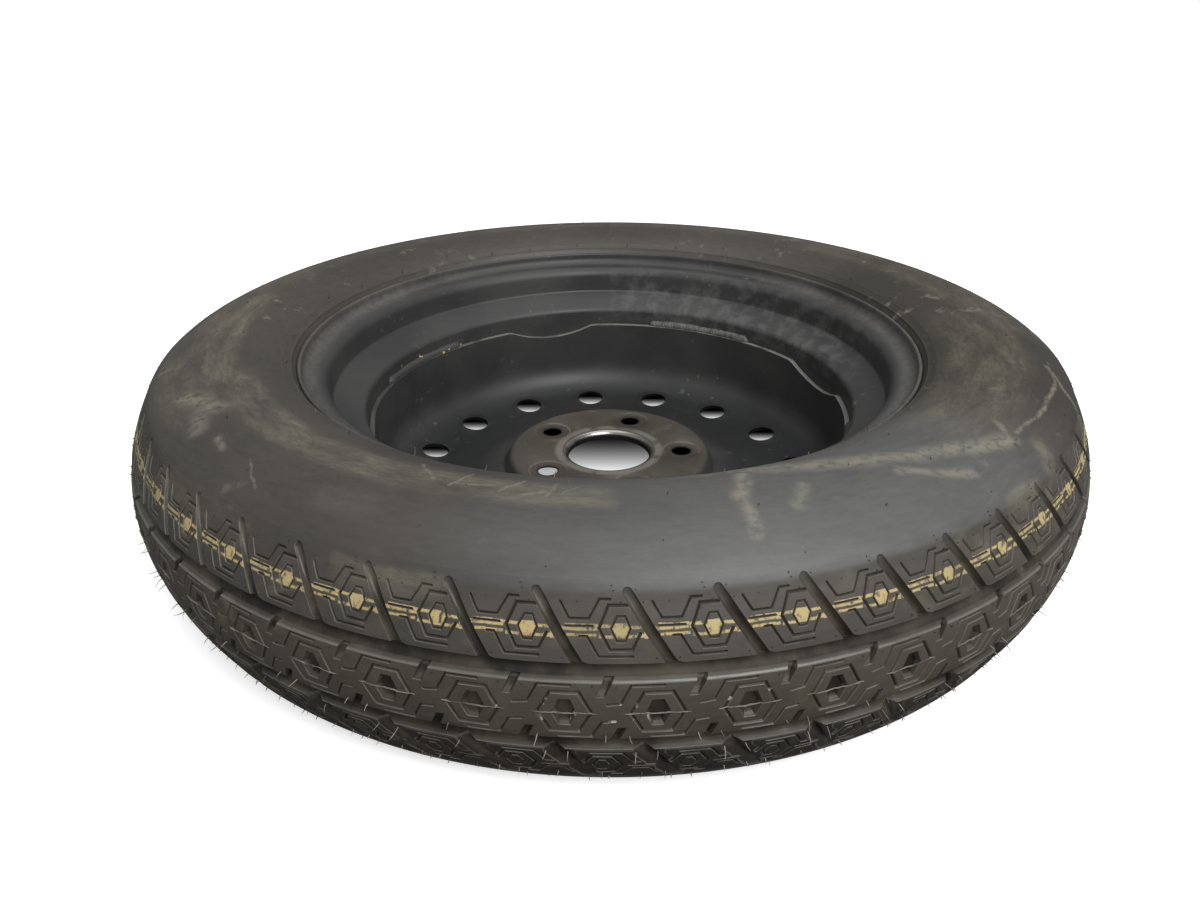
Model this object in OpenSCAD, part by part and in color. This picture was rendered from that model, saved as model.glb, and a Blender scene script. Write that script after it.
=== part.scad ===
// Compact spare wheel: pressed steel disc wheel, narrow tyre and snap-in valve.
// The axis is Z with the inboard side up, and the origin is the middle of the rim on its axis.

/* [Tyre] */
// Radius of the tread at its middle
tread_r = 355.4; // [345:0.1:372]
// Radius of the curve across the tread
crown_r = 93.2; // [85:0.1:130]
// Half the width of the tread
shoulder_z = 57.2; // [54:0.1:61]
// Half the section width of the tyre
section_half = 78.4; // [75:0.1:82]
// Radius at which the tyre is widest
bulge_r = 288; // [278:0.5:296]
// Thickness of the sidewall
wall_t = 6; // [4:0.1:9]
// Rubber left under the tread grooves
base_t = 7; // [5:0.1:10]
// Depth of the bead from its heel to its toe
bead_w = 14.5; // [12:0.1:17]
/* [Tread pattern] */
// Number of tread pitches round the tyre
pitches = 48; // [44:4:56]
// Angle of the first hexagon
tread_turn = 3.98; // [0:0.01:8]
// Half the width of the middle rib
mid_rib_half = 17.7; // [15:0.1:20]
// Width of the two grooves that run round the tyre
ring_groove_w = 9.8; // [7:0.1:12]
// Depth of the grooves
groove_depth = 4.8; // [3:0.1:6]
// Width of the slanted grooves across the outer ribs
cross_w = 5.6; // [4:0.1:7]
// Slant of those grooves from straight across
cross_slant = 34; // [20:0.5:40]
// Distance of those grooves from the hexagons, along the tread, at the ring groove
cross_shift = 6; // [2:0.1:9]
// Distance beyond the tread's edge where those grooves end
cross_runout = 4.2; // [2:0.1:6]
// Width of the notches in the middle rib
notch_w = 5; // [3:0.1:7]
// Length of the notches across the middle rib
notch_l = 8.3; // [5:0.1:11]
// Depth of the notches
notch_depth = 3.6; // [2:0.1:4.4]
// Slant of the notches from straight across
notch_slant = 24; // [10:0.5:35]
// Distance of the notches from the hexagons, along the tread, at the rib edge
notch_shift = 21.3; // [19:0.1:22]
// Width of the hexagonal pockets along the tread
pocket_w = 10; // [7:0.1:13]
// Width of the hexagonal pockets across the tread
pocket_h = 14; // [10:0.1:18]
// Depth of the hexagonal pockets
pocket_depth = 2.4; // [1:0.1:3.5]

/* [Rim] */
// Radius of the bead seats
seat_r = 218.3; // [214:0.1:222]
// Half the rim width, between the flanges
rim_half = 50.8; // [48:0.1:54]
// Height of the flanges above the bead seats
flange_h = 17.5; // [16:0.1:19]
// Radius of the rolled flange edge
curl_r = 9.4; // [8:0.1:10.5]
// Width of the flange past the middle of its roll
lip_w = 3.6; // [2:0.1:5]
// Fall of the bead seats towards the well
seat_fall = 1.6; // [0:0.1:2.5]
// Thickness of the rim's sheet
rim_t = 2.8; // [2.2:0.1:3.4]
// Inner radius of the well
well_r = 190.5; // [187:0.1:193]
// Height of the well's outboard wall
well_low_z = -30; // [-31:0.1:-27]
// Height of the well's inboard wall at the well
well_high_z = 19.5; // [16:0.1:22]
// Rise of the inboard wall on its way out to the bead seat
well_rise = 11; // [6:0.1:12]

/* [Disc] */
// Thickness of the disc's sheet
disc_t = 4; // [3:0.1:5]
// Height of the inboard face of the hub pad
pad_z = -35.6; // [-39:0.1:-33]
// Radius of the hub pad
pad_r = 79; // [76:0.1:84]
// Radius of the centre bore
bore_r = 33.55; // [28:0.05:36]
// Depth of the edge of the bore, from the middle of the sheet
bore_lip = 5.6; // [4:0.1:8]
// Height of the inboard face at the vent holes
crown_z = -60.4; // [-64:0.1:-56]
// Height of the disc's edge
edge_z = 6; // [3:0.1:9]
// Radius of the valley round the pad, where the disc's slope changes
valley_r = 114.8; // [104:0.1:120]
// Height of the disc there above its lowest ring
valley_rise = 4.6; // [2:0.1:7]
// Radius where the lowest ring begins
ring_in_r = 146.8; // [136:0.1:150]
// Radius of the bend between the lowest ring and the disc's flange
bend_r = 30; // [22:0.5:32]
// Height of the step from the pad down to the valley
pad_step = 10.6; // [8:0.1:12]
// Diameter of the circle through the nut holes
pcd = 120; // [108:0.1:124]
// Number of nut holes
nuts = 5; // [4:1:6]
// Radius of the nut holes
nut_hole_r = 7.6; // [6.5:0.1:8.2]
// Mouth radius of the nut seats
nut_seat_r = 10.4; // [9.6:0.1:11.5]
// Radius of the coined area round each nut hole
coin_r = 16; // [14:0.1:17.5]
// Depth of the coined area
coin_depth = 1.2; // [0.3:0.1:1.4]
// Number of vent holes
vents = 16; // [12:4:18]
// Radius of the circle through the vent holes
vent_ring_r = 158.8; // [152:0.1:162]
// Radius of the vent holes
vent_r = 11.7; // [8:0.1:13]
// Radius of the dish round each vent hole
vent_dish_r = 17; // [14.5:0.1:18.5]
// Depth of that dish
vent_dish = 1.2; // [0.4:0.1:1.6]
// Angle of the first vent hole from the first nut hole
vent_turn = 6.6; // [0:0.1:22]
// Radius of the scallops in the disc's edge
scallop_r = 89; // [60:0.5:110]
// Depth of the scallops
scallop_depth = 9.6; // [6:0.1:11]
// Angle of the first scallop
scallop_turn = 17.5; // [0:0.1:45]
// Length of each weld, as an angle
weld_arc = 31; // [20:0.5:38]
// Height of the weld beads
weld_h = 5.4; // [4:0.1:6.5]
// Width of the weld beads
weld_w = 4.4; // [3:0.1:5]

/* [Valve] */
// Angle of the valve on the wheel
valve_turn = 265; // [180:1:340]
// Radius of the valve hole in the rim
valve_hole_r = 5.75; // [5.2:0.05:6]
// Length of the valve from the rim to the end of its thread
valve_l = 31.8; // [29:0.1:33.5]
// Radius of the rubber bulb on both sides of the rim
bulb_r = 7.6; // [7:0.1:7.9]
// Height of the rubber bulb inside the tyre
bulb_h = 6.5; // [5:0.1:8]
// Length of the rubber body outside the rim
rubber_l = 21; // [19:0.1:23]
// Radius of the rubber body at its end
rubber_end_r = 5.4; // [5:0.1:6.2]
// Radius of the valve thread
thread_r = 3.85; // [3.7:0.05:4]
// Length of the valve thread
thread_l = 10.2; // [9:0.1:11]
// Radius of the bore for the core
core_bore_r = 2.65; // [2.5:0.05:2.8]
// Radius of the air passage below the core
passage_r = 2; // [1.85:0.05:2.2]
// Radius of the core's pin
pin_r = 0.6; // [0.5:0.05:0.7]
// Distance of the pin's end below the end of the stem
pin_sink = 0.5; // [0.2:0.1:1]
// Travel of the core's pin
pin_travel = 1.5; // [1:0.1:2]
// Outer radius of the cap
cap_r = 4.9; // [4.7:0.05:5.4]
// Length of the cap
cap_l = 12; // [11:0.1:13]
// Thickness of the washer inside the cap
cap_seal_t = 1.1; // [0.8:0.1:1.4]
// Number of grip ribs round the cap
cap_ribs = 12; // [8:1:16]

/* [Fits] */
// Gap between pieces that are pressed or mounted together
seat_gap = 0.2; // [0.1:0.05:0.3]
// Radial clearance of pieces that turn or slide in each other
run_gap = 0.05; // [0.03:0.01:0.08]

/* [Hidden] */

eps = 0.01;
pitch_a = 360 / pitches;
flange_r = seat_r + flange_h;
seat_in_r = seat_r - seat_fall;
wall_mid_low = [well_r + rim_t / 2, well_low_z];
corner_r = 4;
heel_r = 7;
disc_out_r = well_r - seat_gap;
pad_mid = pad_z - disc_t / 2;
crown_mid = crown_z - disc_t / 2;
ring_end_z = mid_rib_half + ring_groove_w;

// Tools for outlines, as lists of [radius, height]
function unit(v) = v / norm(v);
function lerp(a, b, t) = a + (b - a) * t;
function mirrored(pts) = [for (i = [len(pts) - 1 : -1 : 0]) [pts[i][0], -pts[i][1]]];
function bezier(a, b, c, d, n) = [for (i = [1 : n]) let (t = i / n, s = 1 - t)
    s * s * s * a + 3 * s * s * t * b + 3 * s * t * t * c + t * t * t * d];
function arc(centre, r, from, to, n) = [for (i = [0 : n]) let (a = lerp(from, to, i / n))
    centre + r * [cos(a), sin(a)]];

// The arc of radius r that rounds the corner b between a and c
function corner(a, b, c, r, n) = let (
    u = unit(a - b),
    v = unit(c - b),
    half = acos(u * v) / 2,
    centre = b + unit(u + v) * r / sin(half),
    p = b + u * r / tan(half) - centre,
    from = atan2(p[1], p[0]),
    turn = (u[0] * v[1] > u[1] * v[0] ? 1 : -1) * (180 - 2 * half)
) arc(centre, r, from, from - turn, n);

// A polyline with its inner corners rounded by the radii given
function rounded(pts, radii, n = 6) = concat(
    [pts[0]],
    [for (i = [1 : len(pts) - 2]) each corner(pts[i - 1], pts[i], pts[i + 1], radii[i - 1], n)],
    [pts[len(pts) - 1]]
);

// The outline of a sheet of thickness t along a path
function side_step(path, i, t) = let (
    a = path[max(i - 1, 0)],
    b = path[i],
    c = path[min(i + 1, len(path) - 1)],
    u = norm(b - a) > 0 ? unit(b - a) : unit(c - b),
    v = norm(c - b) > 0 ? unit(c - b) : u,
    m = unit(u + v)
) b + [-m[1], m[0]] * t / 2 / (m * u);
function sheet(path, t) = concat(
    [for (i = [0 : len(path) - 1]) side_step(path, i, t)],
    [for (i = [len(path) - 1 : -1 : 0]) side_step(path, i, -t)]
);

// Tyre
function crown(z) = tread_r - z * z / (2 * crown_r);
function crown_points(from, to, n, drop = 0) = [for (i = [0 : n]) let (z = lerp(from, to, i / n))
    [crown(z) - drop, z]];
function seat_at(z) = seat_r - seat_fall * (rim_half - z) / (rim_half + well_low_z);

groove_draft = 0.8;
groove_round = 1.2;
edge = [crown(shoulder_z), shoulder_z];
edge_rise = 0.45 * (section_half - shoulder_z);
curl_centre = [flange_r - curl_r, rim_half + curl_r];
skin_end = arc(curl_centre, curl_r + seat_gap, 8, 8, 1)[0];
toe_z = rim_half - seat_gap - bead_w;
toe = [seat_at(toe_z) + seat_gap, toe_z];
inner_edge_z = shoulder_z - 10;
inner_edge = [crown(inner_edge_z) - groove_depth - base_t, inner_edge_z];
inner_half = section_half - wall_t;

tread_half = concat(
    crown_points(0, mid_rib_half, 4),
    rounded([
        [crown(mid_rib_half), mid_rib_half],
        [crown(mid_rib_half) - groove_depth, mid_rib_half + groove_draft],
        [crown(ring_end_z) - groove_depth, ring_end_z - groove_draft],
        [crown(ring_end_z), ring_end_z]
    ], [groove_round, groove_round], 3),
    crown_points(ring_end_z, shoulder_z, 6)
);
skin_half = concat(
    bezier(edge, edge + [-2, edge_rise], [bulge_r + 28, section_half], [bulge_r, section_half], 9),
    bezier([bulge_r, section_half], [bulge_r - 30, section_half], skin_end + [4, 10], skin_end, 9),
    arc(curl_centre, curl_r + seat_gap, 0, -90, 6),
    arc([seat_r + seat_gap + heel_r, rim_half - seat_gap - heel_r], heel_r, 90, 180, 4),
    [toe]
);
inside_half = concat(
    bezier(toe, toe + [16, 3], [bulge_r - 34, inner_half], [bulge_r, inner_half], 7),
    bezier([bulge_r, inner_half], [bulge_r + 24, inner_half], inner_edge + [-8, 14], inner_edge, 6),
    crown_points(inner_edge_z, 0, 5, groove_depth + base_t)
);
function tidy(pts) = [for (i = [0 : len(pts) - 1]) if (i == 0 || norm(pts[i] - pts[i - 1]) > eps) pts[i]];
tyre_half = tidy(concat(tread_half, skin_half, inside_half));
tyre_half_open = [for (i = [1 : len(tyre_half) - 2]) tyre_half[i]];
tyre_outline = concat(tyre_half, mirrored(tyre_half_open));

cross_foot = crown(ring_end_z) - groove_depth;
cross_drop = 2.4;
cross_end_z = shoulder_z + cross_runout;
cross_end = edge[0] - cross_drop;
cross_tilt = atan((cross_foot - cross_end) / (cross_end_z - ring_end_z));
cross_back = 4;
cross_l = (cross_end_z - ring_end_z) / cos(cross_slant) / cos(cross_tilt);

// A slanted groove across an outer rib, in the frame of its hexagon
module cross_groove() {
    translate([cross_foot, cross_shift, ring_end_z])
    rotate([0, -cross_tilt, 0])
    rotate([cross_slant, 0, 0])
    translate([0, 0, -cross_back])
    linear_extrude(cross_l + cross_back)
    union() {
        translate([cross_w / 2, 0]) circle(r = cross_w / 2, $fn = 24);
        translate([cross_w / 2, -cross_w / 2]) square([groove_depth + 8, cross_w]);
    }
}

notch_open = 1.4;
notch_ramp = 3;

// A notch in the edge of the middle rib, with a ramp at its closed end
module rib_notch() {
    top = tread_r + 2;
    foot = crown(mid_rib_half) - notch_depth;
    far = mid_rib_half + notch_open;
    near = mid_rib_half - notch_l;
    translate([0, notch_shift, mid_rib_half])
    rotate([-notch_slant, 0, 0])
    translate([0, notch_w / 2, -mid_rib_half])
    rotate([90, 0, 0])
    linear_extrude(notch_w)
    polygon([[top, near - notch_ramp / 2], [foot, near + notch_ramp], [foot, far], [top, far]]);
}

// The pocket in the middle of a hexagon
module pocket() {
    translate([tread_r - pocket_depth, 0, 0])
    rotate([0, 90, 0])
    linear_extrude(pocket_depth + 2)
    polygon([for (s = [[0, 1], [1, 0.45], [1, -0.45], [0, -1], [-1, -0.45], [-1, 0.45]])
        [s[0] * pocket_h / 2, s[1] * pocket_w / 2]]);
}

module tyre() {
    color([0.2, 0.19, 0.18])
    difference() {
        rotate_extrude($fn = 192) polygon(tyre_outline);
        for (i = [0 : pitches - 1])
            rotate([0, 0, tread_turn + i * pitch_a]) {
                pocket();
                for (side = [0, 180])
                    rotate([side, 0, 0]) {
                        cross_groove();
                        rib_notch();
                    }
            }
    }
}

// Rim
lip_end = [flange_r - rim_t / 2, rim_half + curl_r + lip_w];
flange_foot = [seat_r - rim_t / 2, rim_half + rim_t / 2];
rim_path = rounded([
    [lip_end[0], -lip_end[1]],
    [lip_end[0], -flange_foot[1]],
    [flange_foot[0], -flange_foot[1]],
    [seat_in_r - rim_t / 2, well_low_z],
    wall_mid_low,
    [well_r + rim_t / 2, well_high_z],
    [seat_in_r - rim_t / 2, well_high_z + well_rise],
    flange_foot,
    [lip_end[0], flange_foot[1]],
    lip_end
], [curl_r - rim_t / 2, heel_r, corner_r, corner_r, corner_r, corner_r, heel_r, curl_r - rim_t / 2], 5);
valve_ring_r = (wall_mid_low[0] + seat_in_r - rim_t / 2) / 2;

module at_valve() {
    rotate([0, 0, valve_turn])
    translate([valve_ring_r, 0, well_low_z - rim_t / 2])
    rotate([180, 0, 0])
    children();
}

module rim() {
    color([0.1, 0.1, 0.11])
    difference() {
        rotate_extrude($fn = 192) polygon(sheet(rim_path, rim_t));
        at_valve() translate([0, 0, -rim_t - 1]) cylinder(r = valve_hole_r, h = rim_t + 2, $fn = 32);
    }
}

// Disc
disc_path = rounded([
    [bore_r + disc_t / 2, pad_mid - bore_lip],
    [bore_r + disc_t / 2, pad_mid],
    [pad_r + 1, pad_mid],
    [pad_r + 1 + pad_step / 2, pad_mid - pad_step],
    [valley_r, crown_mid + valley_rise],
    [ring_in_r, crown_mid],
    [disc_out_r - disc_t / 2, crown_mid],
    [disc_out_r - disc_t / 2, edge_z]
], [2.8, 3.5, 5, 40, 30, bend_r], 6);
seat_l = disc_t * 0.5;

module nut_hole() {
    translate([0, 0, pad_z - disc_t - coin_depth - 1]) cylinder(r = nut_hole_r, h = disc_t + 4, $fn = 48);
    translate([0, 0, pad_z - coin_depth]) cylinder(r = coin_r, h = coin_depth + 1, $fn = 64);
    translate([0, 0, pad_z - disc_t - eps])
        cylinder(r1 = nut_seat_r, r2 = nut_hole_r, h = seat_l, $fn = 48);
}

module vent_hole() {
    translate([0, 0, crown_z - 12]) cylinder(r = vent_r, h = 30, $fn = 48);
    translate([0, 0, crown_z - vent_dish]) cylinder(r1 = vent_r, r2 = vent_dish_r + 2, h = vent_dish * 1.6, $fn = 48);
}

module scallop() {
    translate([disc_out_r - 8, 0, edge_z - scallop_depth + scallop_r])
        rotate([0, 90, 0]) cylinder(r = scallop_r, h = 16, $fn = 128);
}

module wheel_disc() {
    color([0.1, 0.1, 0.11])
    difference() {
        rotate_extrude($fn = 192) polygon(sheet(disc_path, disc_t));
        for (i = [0 : nuts - 1]) rotate([0, 0, i * 360 / nuts]) translate([pcd / 2, 0, 0]) nut_hole();
        for (i = [0 : vents - 1])
            rotate([0, 0, vent_turn + i * 360 / vents]) translate([vent_ring_r, 0, 0]) vent_hole();
        for (i = [0 : 3]) rotate([0, 0, scallop_turn + 90 * i]) scallop();
    }
}

weld_root = [well_r - run_gap, edge_z + run_gap];
weld_profile = concat(
    [weld_root],
    [for (a = [0 : 15 : 90]) weld_root + [-weld_w * cos(a), weld_h * sin(a)]]
);

module weld_beads() {
    color([0.12, 0.12, 0.12])
    for (i = [0 : 3])
        rotate([0, 0, scallop_turn + 45 - weld_arc / 2 + 90 * i])
            rotate_extrude(angle = weld_arc, $fn = 192) polygon(weld_profile);
}

// Valve, along its own axis with the rim's outboard face at 0
stem_r = 3;
inner_end = -rim_t - bulb_h;
neck_r = valve_hole_r - run_gap;
thread_z = valve_l - thread_l;
core_seat_z = valve_l - 13.8;
barrel_r = core_bore_r - 0.65;
barrel_bore_r = 1.3;
barrel_z = valve_l - 12.9;
swivel_z = valve_l - 5.2;
swivel_top = valve_l - 1;
pin_end = valve_l - pin_sink;
cup_z = barrel_z - 2.3;
seal_r = 1.35;

module turned(outline, fn = 48) {
    rotate_extrude($fn = fn) polygon(outline);
}

module ring(r_in, r_out, z0, z1) {
    turned([[r_in, z0], [r_out, z0], [r_out, z1], [r_in, z1]]);
}

module valve_rubber() {
    color([0.07, 0.07, 0.07])
    at_valve() turned([
        [stem_r + run_gap, inner_end],
        [bulb_r - 2.4, inner_end],
        [bulb_r - 0.3, inner_end + 2.8],
        [bulb_r, inner_end + 4],
        [bulb_r, -rim_t - run_gap],
        [neck_r, -rim_t - run_gap],
        [neck_r, run_gap],
        [bulb_r, run_gap],
        [bulb_r, 2.6],
        [bulb_r - 0.9, 5.2],
        [rubber_end_r + 0.7, 9],
        [rubber_end_r, rubber_l - 1.2],
        [rubber_end_r - 0.6, rubber_l],
        [stem_r + run_gap, rubber_l]
    ]);
}

module valve_stem() {
    color([0.78, 0.62, 0.3])
    at_valve() turned([
        [passage_r, inner_end],
        [stem_r, inner_end],
        [stem_r, rubber_l + run_gap],
        [thread_r - 0.5, rubber_l + run_gap],
        [thread_r, thread_z + 0.6],
        [thread_r, valve_l - 0.6],
        [thread_r - 0.6, valve_l],
        [core_bore_r + 0.25, valve_l],
        [core_bore_r, valve_l - 0.3],
        [core_bore_r, core_seat_z + 0.8],
        [passage_r, core_seat_z]
    ]);
}

module core_swivel() {
    color([0.8, 0.66, 0.36])
    at_valve() {
        neck_z = swivel_z + 2;
        ring(pin_r + run_gap, core_bore_r - run_gap, swivel_z, neck_z);
        difference() {
            ring(pin_r + run_gap, core_bore_r - run_gap, neck_z, swivel_top);
            for (s = [-1, 1]) translate([-4, s * 2.2 - 1.2, neck_z]) cube([8, 2.4, 6]);
        }
    }
}

module core_barrel() {
    color([0.8, 0.66, 0.36])
    at_valve() turned([
        [pin_r + 0.15, barrel_z],
        [barrel_r, barrel_z],
        [barrel_r, swivel_z - run_gap],
        [barrel_bore_r, swivel_z - run_gap],
        [barrel_bore_r, barrel_z + 0.6],
        [pin_r + 0.15, barrel_z + 0.6]
    ]);
}

module core_gasket() {
    color([0.55, 0.12, 0.1])
    at_valve() ring(barrel_r + run_gap, core_bore_r - run_gap, barrel_z + 1.6, barrel_z + 3.8);
}

module core_pin() {
    color([0.8, 0.66, 0.36])
    at_valve() turned([
        [0, cup_z - 0.6],
        [1, cup_z - 0.6],
        [1, cup_z - run_gap],
        [pin_r, cup_z - run_gap],
        [pin_r, swivel_z - pin_travel - 0.7],
        [1.1, swivel_z - pin_travel - 0.7],
        [1.1, swivel_z - pin_travel - 0.1],
        [pin_r, swivel_z - pin_travel - 0.1],
        [pin_r, pin_end],
        [0, pin_end]
    ]);
}

module core_cup() {
    color([0.8, 0.66, 0.36])
    at_valve() turned([
        [pin_r + run_gap, cup_z],
        [1.7, cup_z],
        [1.7, cup_z + 1.9],
        [1.45, cup_z + 1.9],
        [1.45, cup_z + 0.5],
        [pin_r + run_gap, cup_z + 0.5]
    ]);
}

module core_cup_seal() {
    color([0.1, 0.1, 0.1])
    at_valve() ring(pin_r + run_gap, seal_r, cup_z + 0.5 + run_gap, barrel_z - run_gap);
}

spring_foot = barrel_z + 0.8;
spring_top = swivel_z - pin_travel - 0.9;
spring_turns = 6;
spring_steps = 14;
spring_wire = 0.16;
spring_mean = 0.95;
spring_sides = 6;

function spring_ring(i) = let (a = 360 * i / spring_steps, n = spring_turns * spring_steps)
    [for (k = [0 : spring_sides - 1]) let (
        b = 360 * k / spring_sides,
        r = spring_mean + spring_wire * cos(b),
        z = lerp(spring_foot, spring_top, i / n) + spring_wire * sin(b)
    ) [r * cos(a), r * sin(a), z]];

module core_spring() {
    n = spring_turns * spring_steps;
    m = spring_sides;
    points = [for (i = [0 : n]) each spring_ring(i)];
    walls = [for (i = [0 : n - 1], k = [0 : m - 1]) let (j = (k + 1) % m)
        each [[i * m + k, (i + 1) * m + k, (i + 1) * m + j], [i * m + k, (i + 1) * m + j, i * m + j]]];
    ends = [[for (k = [0 : m - 1]) k], [for (k = [m - 1 : -1 : 0]) n * m + k]];
    color([0.7, 0.7, 0.7])
    at_valve() polyhedron(points, concat(walls, ends), convexity = 8);
}

cap_ceiling = valve_l + cap_seal_t + 3 * run_gap;
cap_top = cap_ceiling + 1.5;
cap_foot = cap_top - cap_l;

module valve_cap() {
    color([0.09, 0.09, 0.09])
    at_valve() {
        turned([
            [thread_r + run_gap, cap_foot],
            [cap_r - 0.4, cap_foot],
            [cap_r, cap_foot + 0.5],
            [cap_r, cap_top - 1.6],
            [cap_r - 0.5, cap_top - 0.5],
            [cap_r - 1.6, cap_top],
            [0, cap_top],
            [0, cap_ceiling],
            [thread_r + run_gap, cap_ceiling]
        ]);
        for (i = [0 : cap_ribs - 1])
            rotate([0, 0, i * 360 / cap_ribs])
                translate([cap_r - 0.1, 0, cap_foot + 1]) cylinder(r = 0.4, h = cap_l - 3.2, $fn = 16);
    }
}

module cap_seal() {
    color([0.16, 0.16, 0.16])
    at_valve() ring(1.4, thread_r - 0.1, valve_l + run_gap, valve_l + run_gap + cap_seal_t);
}

tyre();
rim();
wheel_disc();
weld_beads();
valve_rubber();
valve_stem();
core_swivel();
core_barrel();
core_gasket();
core_pin();
core_cup();
core_cup_seal();
core_spring();
valve_cap();
cap_seal();
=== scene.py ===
# %% [markdown]
# # A temporary-use spare wheel
#
# A narrow tyre on a pressed steel wheel lies on the floor with its inboard side up. The solids
# come from CAD as a fixed frame. Here each visible surface is made again with the fine detail
# that a solid leaves out: slits in the tread, moulded hairs, rounded edges, paint and dust.

# %% Load the frame
import math

import bmesh
import bpy
import numpy as np
from mathutils import Matrix, Vector
from mathutils.geometry import delaunay_2d_cdt


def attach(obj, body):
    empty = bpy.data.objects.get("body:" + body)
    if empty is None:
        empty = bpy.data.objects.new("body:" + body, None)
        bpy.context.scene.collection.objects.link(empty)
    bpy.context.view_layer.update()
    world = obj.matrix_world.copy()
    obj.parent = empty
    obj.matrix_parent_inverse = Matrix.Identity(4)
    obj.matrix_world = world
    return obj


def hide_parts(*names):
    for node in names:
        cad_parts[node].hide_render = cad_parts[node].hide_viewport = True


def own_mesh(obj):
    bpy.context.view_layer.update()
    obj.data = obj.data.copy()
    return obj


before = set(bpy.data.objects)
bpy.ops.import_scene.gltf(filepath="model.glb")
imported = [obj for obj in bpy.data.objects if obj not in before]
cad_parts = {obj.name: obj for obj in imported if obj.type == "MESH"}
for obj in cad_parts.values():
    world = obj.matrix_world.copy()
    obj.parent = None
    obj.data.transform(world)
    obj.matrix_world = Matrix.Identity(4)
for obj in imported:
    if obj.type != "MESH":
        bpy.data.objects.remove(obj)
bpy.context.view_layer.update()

# %% [markdown]
# ## The camera
#
# The photograph was taken from a person's height, close to the wheel, so near things look much
# larger than far ones. The camera is placed from measured numbers: where it stands, how far it
# is turned and tipped, and how long its lens is.

# %% The camera
CAMERA_AT = Vector((0.0, -0.72603, 0.33484))
CAMERA_TURN, CAMERA_DIP, CAMERA_ROLL = -0.0100, 0.4726, -0.0031
CAMERA_LENS = 29.513


def camera_matrix(at, turn, dip, roll):
    """Looks along +Y, turned about Z, dipped below the horizon, then rolled about its own axis."""
    ahead = Vector((math.sin(turn) * math.cos(dip), math.cos(turn) * math.cos(dip), -math.sin(dip)))
    right = Vector((math.cos(turn), -math.sin(turn), 0.0))
    above = right.cross(ahead)
    across = right * math.cos(roll) + above * math.sin(roll)
    up = above * math.cos(roll) - right * math.sin(roll)
    matrix = Matrix((across, up, -ahead)).transposed().to_4x4()
    matrix.translation = at
    return matrix


camera = bpy.data.objects.new("camera", bpy.data.cameras.new("camera"))
bpy.context.collection.objects.link(camera)
camera.matrix_world = camera_matrix(CAMERA_AT, CAMERA_TURN, CAMERA_DIP, CAMERA_ROLL)
camera.data.lens = CAMERA_LENS
camera.data.clip_start = 0.01
bpy.context.scene.camera = camera
print("camera at", [round(v, 3) for v in CAMERA_AT], "lens", CAMERA_LENS, "mm")

# %% [markdown]
# ## Making a mesh
#
# Every new piece is worked out in millimetres as whole arrays of points and faces. One function
# turns such arrays into an object and marks edges sharper than an angle. Short steps of mesh
# editing join points, drop loose ones, or turn the faces to the outside.

# %% From arrays to an object
MM = 0.001


def rework(mesh, *steps):
    """Runs steps of mesh editing one after another."""
    work = bmesh.new()
    work.from_mesh(mesh)
    for step in steps:
        step(work)
    work.to_mesh(mesh)
    work.free()


def joined(distance):
    """A step that joins points closer than a distance in metres."""
    return lambda work: bmesh.ops.remove_doubles(work, verts=work.verts, dist=distance)


def drop_loose(work):
    """A step that deletes the points without a face."""
    bmesh.ops.delete(work, geom=[p for p in work.verts if not p.link_faces], context="VERTS")


def turn_outwards(work):
    """A step that turns all faces to the outside."""
    bmesh.ops.recalc_face_normals(work, faces=work.faces)
    print("open edges:", sum(e.is_boundary for e in work.edges), "of", len(work.edges))


def add_piece(name, points, faces, sharp=35.0, weld=0.0, **values):
    """A mesh from points in mm and faces of any size, smooth except over edges sharper than an angle.
    Further values, one for each point, are kept under their names for the materials."""
    mesh = bpy.data.meshes.new(name)
    mesh.from_pydata((np.asarray(points) * MM).tolist(), [], [list(f) for f in faces])
    for key, value in values.items():
        kept = mesh.attributes.new(key, "FLOAT", "POINT").data
        kept.foreach_set("value", np.asarray(value, np.float32).ravel())
    if weld:
        rework(mesh, joined(weld * MM))
    mesh.polygons.foreach_set("use_smooth", np.ones(len(mesh.polygons), bool))
    mesh.set_sharp_from_angle(angle=math.radians(sharp))
    mesh.update()
    piece = bpy.data.objects.new(name, mesh)
    bpy.context.collection.objects.link(piece)
    print(name, len(mesh.vertices), "points,", sum(len(p.vertices) - 2 for p in mesh.polygons), "triangles")
    return piece


def unit(v):
    """The vectors with their lengths made 1."""
    return v / np.linalg.norm(v, axis=-1, keepdims=True)


def round_corner(a, b, c, radius, n):
    """The arc of a radius that touches b-a and b-c: n+1 points from the first line to the second."""
    u, v = unit(a - b), unit(c - b)
    half = math.acos(np.clip(u @ v, -1, 1)) / 2
    centre = b + unit(u + v) * radius / math.sin(half)
    start = b + u * radius / math.tan(half) - centre
    turn = (math.pi - 2 * half) * (-1 if u[0] * v[1] > u[1] * v[0] else 1)
    angle = math.atan2(start[1], start[0]) + turn * np.linspace(0, 1, n + 1)
    return centre + radius * np.stack([np.cos(angle), np.sin(angle)], 1)


def rounded_path(corners, radii, n=10):
    """A line through corners, each inner corner replaced by the arc of its radius."""
    corners = np.array(corners, float)
    arcs = [round_corner(*corners[i:i + 3], radii[i], n) for i in range(len(radii))]
    return np.vstack([corners[:1], *arcs, corners[-1:]])


def resample(path, step):
    """Points added along the straight runs of a path, so that none is longer than a step."""
    gaps = np.linalg.norm(np.diff(path, axis=0), axis=1)
    along = np.concatenate([[0], np.cumsum(gaps)])
    counts = np.maximum(np.ceil(gaps / step).astype(int), 1)
    at = np.concatenate([np.linspace(along[i], along[i + 1], k, endpoint=False) for i, k in enumerate(counts)]
                        + [along[-1:]])
    return np.stack([np.interp(at, along, path[:, k]) for k in range(2)], 1)


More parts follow.
